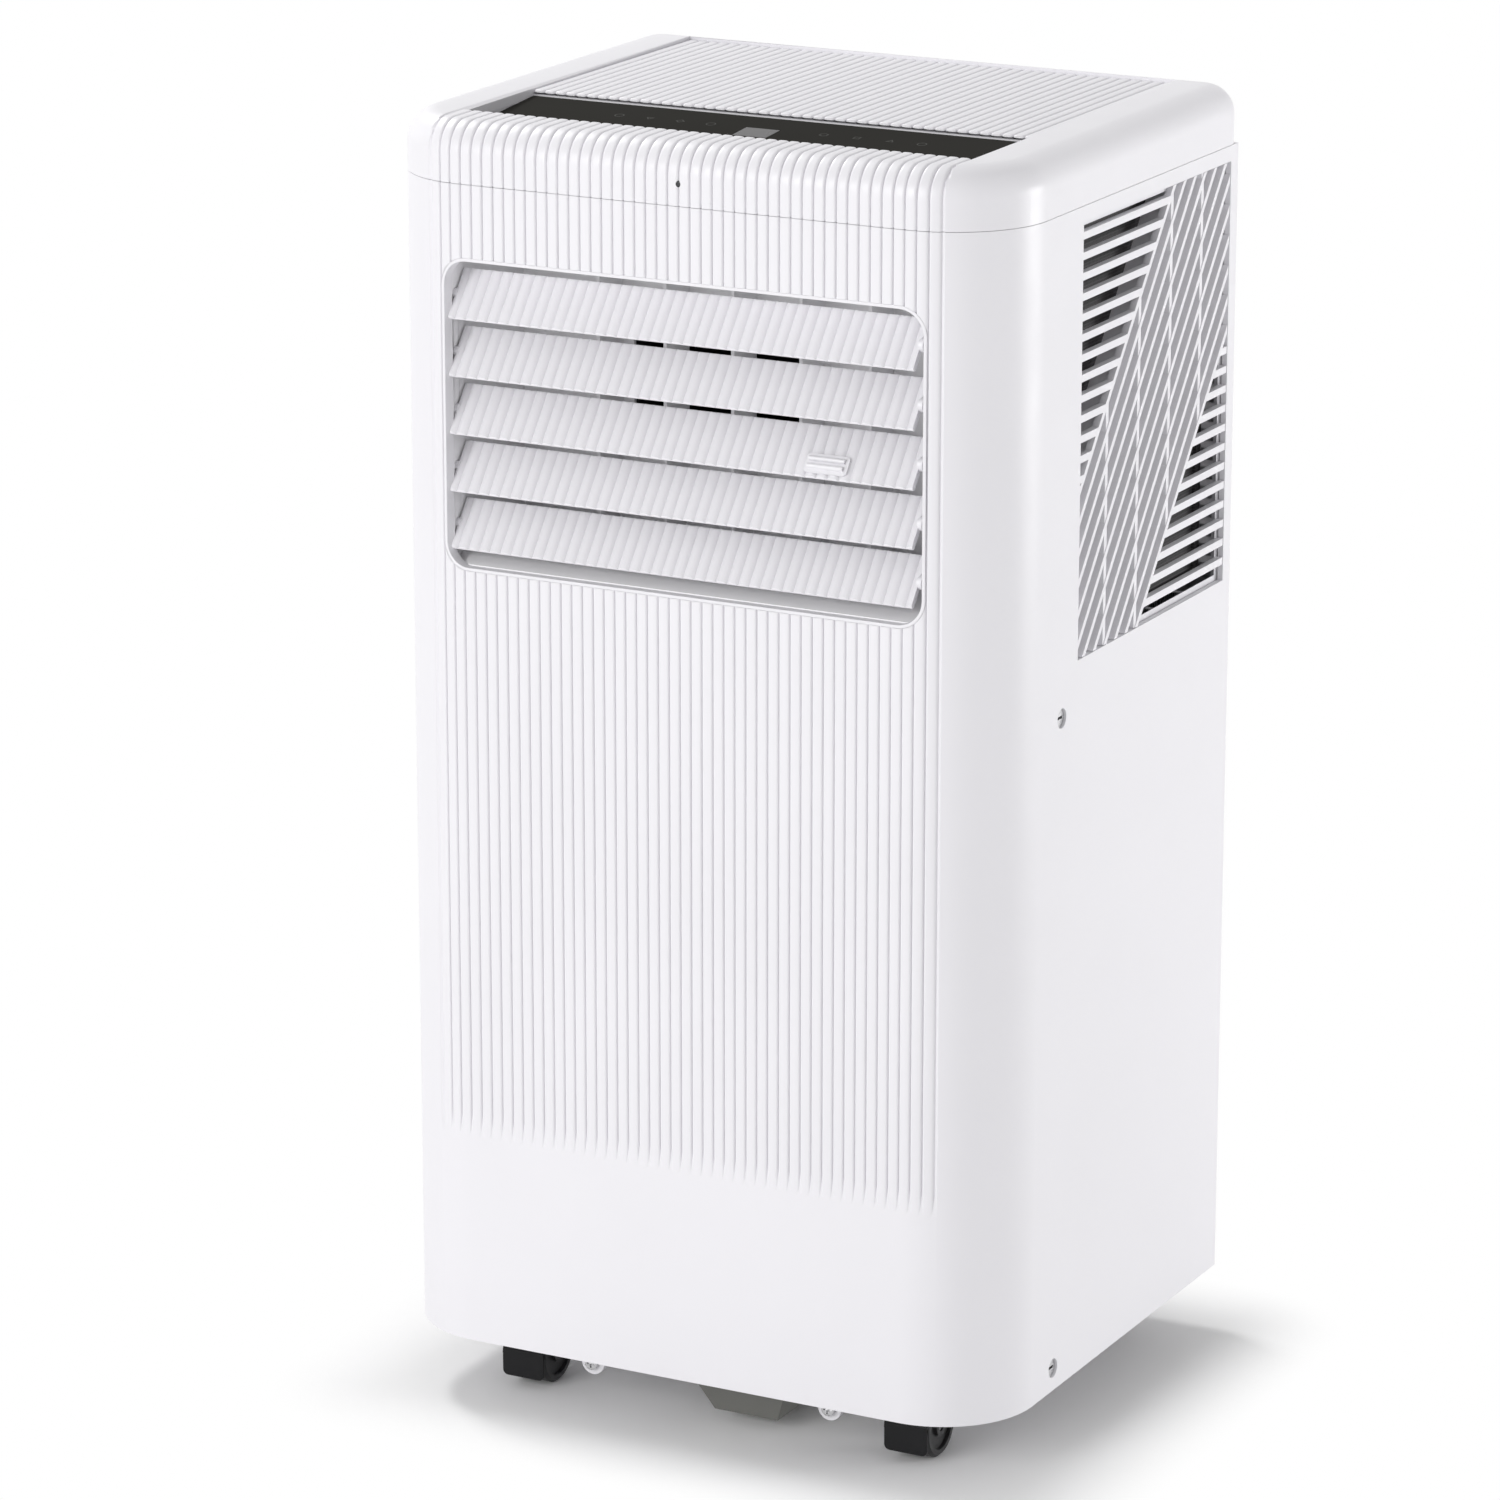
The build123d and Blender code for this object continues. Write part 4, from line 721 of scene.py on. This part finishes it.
def lip_ribs():
    """Ribs that run up the cover's front, over its edge and down again to the control strip."""
    size = sizes()
    low = SHELL_HIGH.z + size.seam_gap
    rise = COVER_HIGH.z - size.top_edge
    end = size.lip_back - SHELL_LOW.y
    section = rib_section("lip_rib", size.rib_depth, size.rib_flat)
    for vertex in section.data.vertices:
        vertex.co.z = low
    with editing(section):
        choose(section, "EDGE", lambda edge: True)
        run_on((0, 0, rise - low))
        choose(section, "VERT", lambda vertex: vertex.co.z > rise - MESH_STEP)
        bpy.ops.mesh.select_mode(type="EDGE")
        bpy.ops.mesh.spin(
            steps=12, angle=math.pi / 2, center=(0, size.top_edge, rise), axis=(1, 0, 0))
        choose(section, "VERT", lambda vertex: vertex.co.y > size.top_edge - MESH_STEP)
        bpy.ops.mesh.select_mode(type="EDGE")
        run_on((0, end - size.lip_round - size.top_edge, 0))
        bpy.ops.mesh.spin(
            steps=6, angle=math.pi / 2, center=(0, end - size.lip_round, COVER_HIGH.z - size.lip_round),
            axis=(1, 0, 0))
        whole()
        bpy.ops.mesh.remove_doubles(threshold=MESH_STEP)
    face_out(section, (0, -1, 1))

    def place(x, point):
        at = x + point.x
        start = front_surface(at) if point.y < size.top_edge + MESH_STEP else SHELL_LOW.y
        return (at, start + point.y, point.z)

    made = copies(section, rib_places(), place)
    bpy.data.objects.remove(section)
    return made


def field_ribs():
    """Ribs of the field behind the control strip, rounded down at their front ends."""
    size = sizes()
    high = COVER_HIGH.z - size.field_drop
    front = size.strip_back + size.field_round
    section = rib_section("field_rib", size.field_depth, size.field_flat)
    section.data.transform(Matrix.Translation((0, front, high)) @ Matrix.Rotation(-math.pi / 2, 4, "X"))
    with editing(section):
        choose(section, "EDGE", lambda edge: True)
        bpy.ops.mesh.spin(
            steps=8, angle=-math.pi / 2, center=(0, front, high - size.field_round), axis=(1, 0, 0))
        choose(section, "VERT", lambda vertex: vertex.co.y > front - MESH_STEP)
        bpy.ops.mesh.select_mode(type="EDGE")
        run_on((0, size.field_back - front, 0))
        whole()
        bpy.ops.mesh.remove_doubles(threshold=MESH_STEP)
    face_out(section, (0, 0, 1))
    made = copies(section, rib_places(), lambda x, point: (x + point.x, point.y, point.z))
    bpy.data.objects.remove(section)
    return made


def strip_trough():
    """Walls of the recess that holds the control strip."""
    size = sizes()
    half = rib_half() + size.trough_gap
    trough = block(
        "strip_trough", (-half, size.lip_back - size.trough_gap, STRIP_LOW.z - size.wall),
        (half, size.strip_back + size.trough_gap, COVER_HIGH.z - size.trough_drop))
    with editing(trough):
        choose(trough, "FACE", lambda face: face.normal.z > 0.9)
        bpy.ops.mesh.delete(type="FACE")
        whole()
        bpy.ops.mesh.flip_normals()
    return trough


class AIRCON_OT_top_moulding(bpy.types.Operator):
    """Makes the top cover with its ribbed lip, the control strip's recess and the ribbed field"""

    bl_idname = "aircon.top_moulding"
    bl_label = "Top Moulding"

    def execute(self, context):
        size = sizes()
        lid = cover_skin()
        half = rib_half()
        take_away(lid, block(
            "strip_cutter", (-half, size.lip_back, STRIP_LOW.z), (half, size.strip_back, COVER_HIGH.z + size.wall)))
        field_floor = COVER_HIGH.z - size.field_drop - size.field_depth
        take_away(lid, block(
            "field_cutter", (-half, size.strip_back - size.wall, field_floor),
            (half, size.field_back, COVER_HIGH.z + size.wall)))
        round_edges(lid, size.edge_round, MOULDED_TURN)
        join(lid, lip_ribs() + field_ribs() + [strip_trough()])
        hand_over(lid, "cabinet_white", "cabinet", ["top_cover"], 40.0)
        return {"FINISHED"}


class AIRCON_OT_louvers(bpy.types.Operator):
    """Dresses the louvres, their thumb tab and their link"""

    bl_idname = "aircon.louvers"
    bl_label = "Louvres"

    def execute(self, context):
        for index in range(1, 6):
            dress("louver_%d" % index, "blade_white", smooth=40.0)
        dress("louver_tab", "blade_white", FINE_EDGE)
        dress("louver_link", "blade_white", FINE_EDGE)
        return {"FINISHED"}


class AIRCON_OT_outlet(bpy.types.Operator):
    """Dresses the duct behind the louvres and its guide vanes"""

    bl_idname = "aircon.outlet"
    bl_label = "Outlet Duct"

    def execute(self, context):
        # The duct and its vanes wear the white with painted light, lighter than the cabinet's white.
        dress("outlet_duct", "duct_white", SMALL_EDGE)
        dress("guide_vanes", "duct_white", SMALL_EDGE)
        return {"FINISHED"}


class AIRCON_OT_side_intake(bpy.types.Operator):
    """Dresses the side grille, its filter and the screws of the sides"""

    bl_idname = "aircon.side_intake"
    bl_label = "Side Intake"

    def screw_caps(self, screws):
        """Widens and lengthens the screws' heads until they nearly fill their recesses."""
        size = sizes()
        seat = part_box("shell_screws")[1][0] - size.wall
        for vertex in screws.data.vertices:
            height = min((size.screw_low, size.screw_high), key=lambda place: abs(place - vertex.co.z))
            side = math.copysign(1.0, vertex.co.x)
            vertex.co.x = side * (seat + size.screw_rise * (abs(vertex.co.x) - seat))
            vertex.co.y = size.screw_y + size.screw_spread * (vertex.co.y - size.screw_y)
            vertex.co.z = height + size.screw_spread * (vertex.co.z - height)

    def thin_slats(self, grille):
        """Cuts the level slats back to blades, so that the dark room behind them shows."""
        size = sizes()
        rim = Vector((0, size.grille_rim, size.grille_rim))
        window = GRILLE_LOW + rim
        across = Vector((0, -math.sin(size.band_slope), math.cos(size.band_slope)))
        for start, above in (((0, size.band_front), True), ((size.band_bottom, 0), False)):
            cutter = block(
                "slat_backs", window - Vector((size.wall, 0, 0)), GRILLE_HIGH - rim - Vector((size.slat_depth, 0, 0)))
            with editing(cutter):
                whole()
                bpy.ops.mesh.bisect(
                    plane_co=window + Vector((0, *start)), plane_no=across, use_fill=True,
                    clear_inner=above, clear_outer=not above)
                whole()
                bpy.ops.mesh.normals_make_consistent(inside=False)
            take_away(grille, cutter)

    def execute(self, context):
        dress("side_grille", "cabinet_white", FINE_EDGE, shape=self.thin_slats)
        dress("side_filter", "filter_mesh", SMALL_EDGE)
        dress("shell_screws", "bright_steel", FINE_EDGE, shape=self.screw_caps)
        return {"FINISHED"}


class AIRCON_OT_control_strip(bpy.types.Operator):
    """Dresses the touch strip and its display, and models the sensor's lens and the strip's marks"""

    bl_idname = "aircon.control_strip"
    bl_label = "Control Strip"

    def lens(self):
        """Round lens of the sensor, with its rim level with the ribs' crests."""
        size = sizes()
        low, high = map(Vector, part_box("sensor_lens"))
        bpy.ops.mesh.primitive_cylinder_add(
            vertices=32, radius=size.lens_radius, depth=2 * size.rib_depth, rotation=(math.radians(90), 0, 0),
            location=((low.x + high.x) / 2, SHELL_LOW.y + size.rib_depth, (low.z + high.z) / 2))
        piece = added("sensor_dome")
        with editing(piece):
            choose(piece, "EDGE", lambda edge: middle(edge).y < SHELL_LOW.y + MESH_STEP)
            bpy.ops.mesh.bevel(offset=size.lens_round, segments=4, affect="EDGES")
        hand_over(piece, "lens_dark", BODY_OF_NODE["sensor_lens"], ["sensor_lens"])

    def mark(self, strip, sides, x, turn):
        """Outline of one mark, laid on the strip."""
        size = sizes()
        bpy.ops.mesh.primitive_circle_add(
            vertices=sides, radius=size.mark_size, fill_type="NGON", rotation=(0, 0, turn),
            location=(x, size.mark_row, 0))
        piece = added("strip_mark")
        with editing(piece):
            whole()
            bpy.ops.mesh.inset(thickness=size.mark_line)
            bpy.ops.mesh.delete(type="FACE")
        for vertex in piece.data.vertices:
            found, point, _, _ = strip.ray_cast(Vector((vertex.co.x, vertex.co.y, 1.0)), Vector((0, 0, -1)))
            if not found:
                raise RuntimeError("A mark lies beside the touch strip")
            vertex.co.z = point.z + size.mark_rise
        return piece

    def marks(self, strip):
        """Plain outlines left and right of the display."""
        # Sides, place across and turn of each mark
        shapes = ((24, -0.078, 0), (3, -0.061, math.pi), (4, -0.044, 0), (24, -0.027, 0),
                  (6, 0.035, 0), (4, 0.053, math.pi / 4), (3, 0.071, 0), (24, 0.088, 0))
        pieces = [self.mark(strip, *shape) for shape in shapes]
        join(pieces[0], pieces[1:])
        pieces[0].name = "strip_marks"
        modify(pieces[0], "SOLIDIFY", thickness=sizes().mark_depth, offset=-1.0)
        hand_over(pieces[0], "mark_grey", BODY_OF_NODE["control_panel"])

    def execute(self, context):
        strip = dress("control_panel", "strip_black", FINE_EDGE)
        dress("display_window", "display_smoke", FINE_EDGE)
        self.lens()
        self.marks(strip)
        dress("control_board", "board_green")
        return {"FINISHED"}


class AIRCON_OT_base(bpy.types.Operator):
    """Dresses the base pan, its screws and the sump"""

    bl_idname = "aircon.base"
    bl_label = "Base"

    def execute(self, context):
        dress("base_pan", "cabinet_white", WALL_EDGE)
        dress("base_screws", "bright_steel", FINE_EDGE)
        dress("drain_sump", "sump_grey", SUMP_EDGE)
        return {"FINISHED"}


class AIRCON_OT_castors(bpy.types.Operator):
    """Dresses the four twin-wheel castors and gives each an apron"""

    bl_idname = "aircon.castors"
    bl_label = "Castors"

    def execute(self, context):
        for corner in ("front_left", "front_right", "rear_left", "rear_right"):
            dress("castor_hood_" + corner, "castor_nylon", SMALL_EDGE)
            dress("castor_wheels_" + corner, "tyre_nylon")
            dress("castor_stem_" + corner, "bright_steel", FINE_EDGE)
            dress("castor_axle_" + corner, "bright_steel", FINE_EDGE)
            self.apron(corner)
        return {"FINISHED"}

    def apron(self, corner):
        """Front of a hood, carried down before the wheels."""
        size = sizes()
        low, high = map(Vector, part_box("castor_hood_" + corner))
        piece = block(
            "castor_apron_" + corner, (low.x, low.y, size.apron_drop),
            (high.x, low.y + size.apron_wall, size.apron_top))
        middle_x = (low.x + high.x) / 2
        with editing(piece):
            choose(piece, "EDGE", lambda edge: (
                middle(edge).z < size.apron_drop + MESH_STEP
                and abs(middle(edge).x - middle_x) > size.apron_wall))
            bpy.ops.mesh.bevel(offset=size.apron_corner, segments=5, affect="EDGES")
        round_edges(piece, size.edge_round, SHARP_TURN)
        hand_over(piece, "castor_nylon", "castor_" + corner)


class AIRCON_OT_back(bpy.types.Operator):
    """Dresses the back cover, its pull-out grille, the hose collar, the drain plug and the gland"""

    bl_idname = "aircon.back"
    bl_label = "Back"

    def execute(self, context):
        dress("rear_cover", "cabinet_white", WALL_EDGE)
        dress("rear_grille", "cabinet_white", SMALL_EDGE)
        dress("exhaust_collar", "cabinet_white", WALL_EDGE)
        dress("drain_plug", "rubber_dark", SMALL_EDGE)
        dress("cord_gland", "rubber_dark", FINE_EDGE)
        return {"FINISHED"}


class AIRCON_OT_inner_works(bpy.types.Operator):
    """Gives the inner works their finishes"""

    bl_idname = "aircon.inner_works"
    bl_label = "Inner Works"

    finishes = {
        "compressor": "compressor_black", "compressor_feet": "rubber_dark", "condenser_coil": "rear_fins",
        "evaporator_coil": "side_fins", "blower_housing": "vane_black", "blower_wheel": "vane_black",
        "blower_motor": "bright_steel", "exhaust_housing": "duct_grey", "exhaust_wheel": "vane_black",
        "exhaust_motor": "bright_steel", "electrical_box": "box_grey", "capacitor": "bright_steel",
        "suction_pipe": "copper_tube", "discharge_pipe": "copper_tube", "partition_deck": "sump_grey",
    }

    def execute(self, context):
        for node, name in self.finishes.items():
            dress(node, name, smooth=35.0)
        return {"FINISHED"}


class AIRCON_OT_stage(bpy.types.Operator):
    """Sets the floor, the soft light and the camera"""

    bl_idname = "aircon.stage"
    bl_label = "Stage"

    floor_size = 24
    lamp_target = (0, 0, 0.35)
    # Width and place of each lamp, in metres
    lamps = {"key": (1.4, (-0.8, -3.1, 1.3)), "top": (0.5, (-1.5, 0.7, 2.2)), "side": (0.9, (2.4, 1.6, 0.25))}

    def floor(self, shadow):
        """Paper that turns white beyond the shadow at the cabinet's foot."""
        bpy.ops.mesh.primitive_plane_add(size=self.floor_size)
        floor = bpy.context.object
        floor.name = "studio_floor"
        material = bpy.data.materials.new("studio_paper")
        material.use_nodes = True
        tree = material.node_tree
        tree.nodes.clear()
        output = tree.nodes.new("ShaderNodeOutputMaterial")
        paper = tree.nodes.new("ShaderNodeBsdfDiffuse")
        paper.inputs["Color"].default_value = (0.9, 0.9, 0.9, 1.0)
        glow = tree.nodes.new("ShaderNodeEmission")
        glow.inputs["Color"].default_value = (1.0, 1.0, 1.0, 1.0)
        fade = tree.nodes.new("ShaderNodeMapRange")
        fade.interpolation_type = "SMOOTHSTEP"
        fade.inputs["From Max"].default_value = shadow
        tree.links.new(self.from_footprint(tree), fade.inputs["Value"])
        seen = tree.nodes.new("ShaderNodeMath")
        seen.operation = "MULTIPLY"
        tree.links.new(self.plain_rays(tree), seen.inputs[0])
        tree.links.new(fade.outputs["Result"], seen.inputs[1])
        mix = tree.nodes.new("ShaderNodeMixShader")
        tree.links.new(seen.outputs["Value"], mix.inputs["Fac"])
        tree.links.new(paper.outputs["BSDF"], mix.inputs[1])
        tree.links.new(glow.outputs["Emission"], mix.inputs[2])
        tree.links.new(mix.outputs["Shader"], output.inputs["Surface"])
        floor.data.materials.append(material)

    def from_footprint(self, tree):
        """Distance of a place on the floor from the cabinet's footprint."""
        value = tree.nodes.new("ShaderNodeTexCoord").outputs["Object"]
        half = (SHELL_HIGH.x, SHELL_HIGH.y, 0.0)
        none = (0.0, 0.0, 0.0)
        for operation, other in (("ABSOLUTE", None), ("SUBTRACT", half), ("MAXIMUM", none), ("LENGTH", None)):
            step = tree.nodes.new("ShaderNodeVectorMath")
            step.operation = operation
            tree.links.new(value, step.inputs[0])
            if other:
                step.inputs[1].default_value = other
            value = step.outputs["Value" if operation == "LENGTH" else "Vector"]
        return value

    def plain_rays(self, tree):
        """One for a ray that looks straight, in a mirror or through glass, else zero."""
        path = tree.nodes.new("ShaderNodeLightPath")
        seen = path.outputs["Is Camera Ray"]
        for ray in ("Is Glossy Ray", "Is Transmission Ray"):
            either = tree.nodes.new("ShaderNodeMath")
            either.operation = "MAXIMUM"
            tree.links.new(seen, either.inputs[0])
            tree.links.new(path.outputs[ray], either.inputs[1])
            seen = either.outputs["Value"]
        return seen

    def world(self, strength):
        world = bpy.data.worlds.new("studio_world")
        bpy.context.scene.world = world
        world.use_nodes = True
        tree = world.node_tree
        tree.nodes.clear()
        output = tree.nodes.new("ShaderNodeOutputWorld")
        soft = tree.nodes.new("ShaderNodeBackground")
        soft.inputs["Strength"].default_value = strength
        white = tree.nodes.new("ShaderNodeBackground")
        white.inputs["Strength"].default_value = 1.0
        seen = self.plain_rays(tree)
        for node in (soft, white):
            node.inputs["Color"].default_value = (1.0, 1.0, 1.0, 1.0)
        mix = tree.nodes.new("ShaderNodeMixShader")
        tree.links.new(seen, mix.inputs["Fac"])
        tree.links.new(soft.outputs["Background"], mix.inputs[1])
        tree.links.new(white.outputs["Background"], mix.inputs[2])
        tree.links.new(mix.outputs["Shader"], output.inputs["Surface"])

    def lamp(self, name, power, width, place):
        data = bpy.data.lights.new(name, "AREA")
        data.energy = power
        data.size = width
        lamp = bpy.data.objects.new(name, data)
        bpy.context.scene.collection.objects.link(lamp)
        lamp.location = place
        lamp.rotation_euler = (Vector(self.lamp_target) - Vector(place)).to_track_quat("-Z", "Y").to_euler()

    def execute(self, context):
        studio = context.scene.cabinet_studio
        scene = context.scene
        scene.view_settings.view_transform = "Standard"
        self.floor(studio.shadow)
        self.world(studio.world)
        for name, (width, place) in self.lamps.items():
            self.lamp(name + "_lamp", getattr(studio, name), width, place)
        turn, rise = studio.azimuth, studio.elevation
        right = Vector((math.cos(turn), math.sin(turn), 0))
        back = Vector((math.cos(rise) * math.sin(turn), -math.cos(rise) * math.cos(turn), math.sin(rise)))
        aim = right * studio.aim_side + Vector((0, 0, studio.aim_height))
        data = bpy.data.cameras.new("product_camera")
        data.sensor_width = 36.0
        data.sensor_fit = "HORIZONTAL"
        data.lens = studio.lens
        data.clip_end = 100.0
        camera = bpy.data.objects.new("product_camera", data)
        scene.collection.objects.link(camera)
        camera.location = aim + back * studio.distance
        camera.rotation_euler = (-back).to_track_quat("-Z", "Y").to_euler()
        scene.camera = camera
        return {"FINISHED"}


class AIRCON_PT_build(bpy.types.Panel):
    """Lists the steps and the settings"""

    bl_label = "Air Conditioner"
    bl_idname = "AIRCON_PT_build"
    bl_space_type = "VIEW_3D"
    bl_region_type = "UI"
    bl_category = "Air Conditioner"

    def draw(self, context):
        for step in STEPS:
            self.layout.operator(step.bl_idname)
        for group in (context.scene.cabinet_sizes, context.scene.cabinet_finishes, context.scene.cabinet_studio):
            box = self.layout.box()
            for name in group.bl_rna.properties.keys():
                if name not in ("rna_type", "name"):
                    box.prop(group, name)


STEPS = (
    AIRCON_OT_finishes, AIRCON_OT_front_moulding, AIRCON_OT_top_moulding, AIRCON_OT_louvers, AIRCON_OT_outlet,
    AIRCON_OT_side_intake, AIRCON_OT_control_strip, AIRCON_OT_base, AIRCON_OT_castors, AIRCON_OT_back,
    AIRCON_OT_inner_works, AIRCON_OT_stage,
)
GROUPS = {"cabinet_sizes": CabinetSizes, "cabinet_finishes": Finishes, "cabinet_studio": Studio}


def register():
    for group in GROUPS.values():
        bpy.utils.register_class(group)
    for step in STEPS:
        bpy.utils.register_class(step)
    bpy.utils.register_class(AIRCON_PT_build)
    for name, group in GROUPS.items():
        setattr(bpy.types.Scene, name, bpy.props.PointerProperty(type=group))


def unregister():
    for name in GROUPS:
        delattr(bpy.types.Scene, name)
    bpy.utils.unregister_class(AIRCON_PT_build)
    for step in reversed(STEPS):
        bpy.utils.unregister_class(step)
    for group in GROUPS.values():
        bpy.utils.unregister_class(group)


def main():
    register()
    for step in STEPS:
        getattr(bpy.ops.aircon, step.bl_idname.split(".")[1])()


if __name__ == "__main__":
    main()
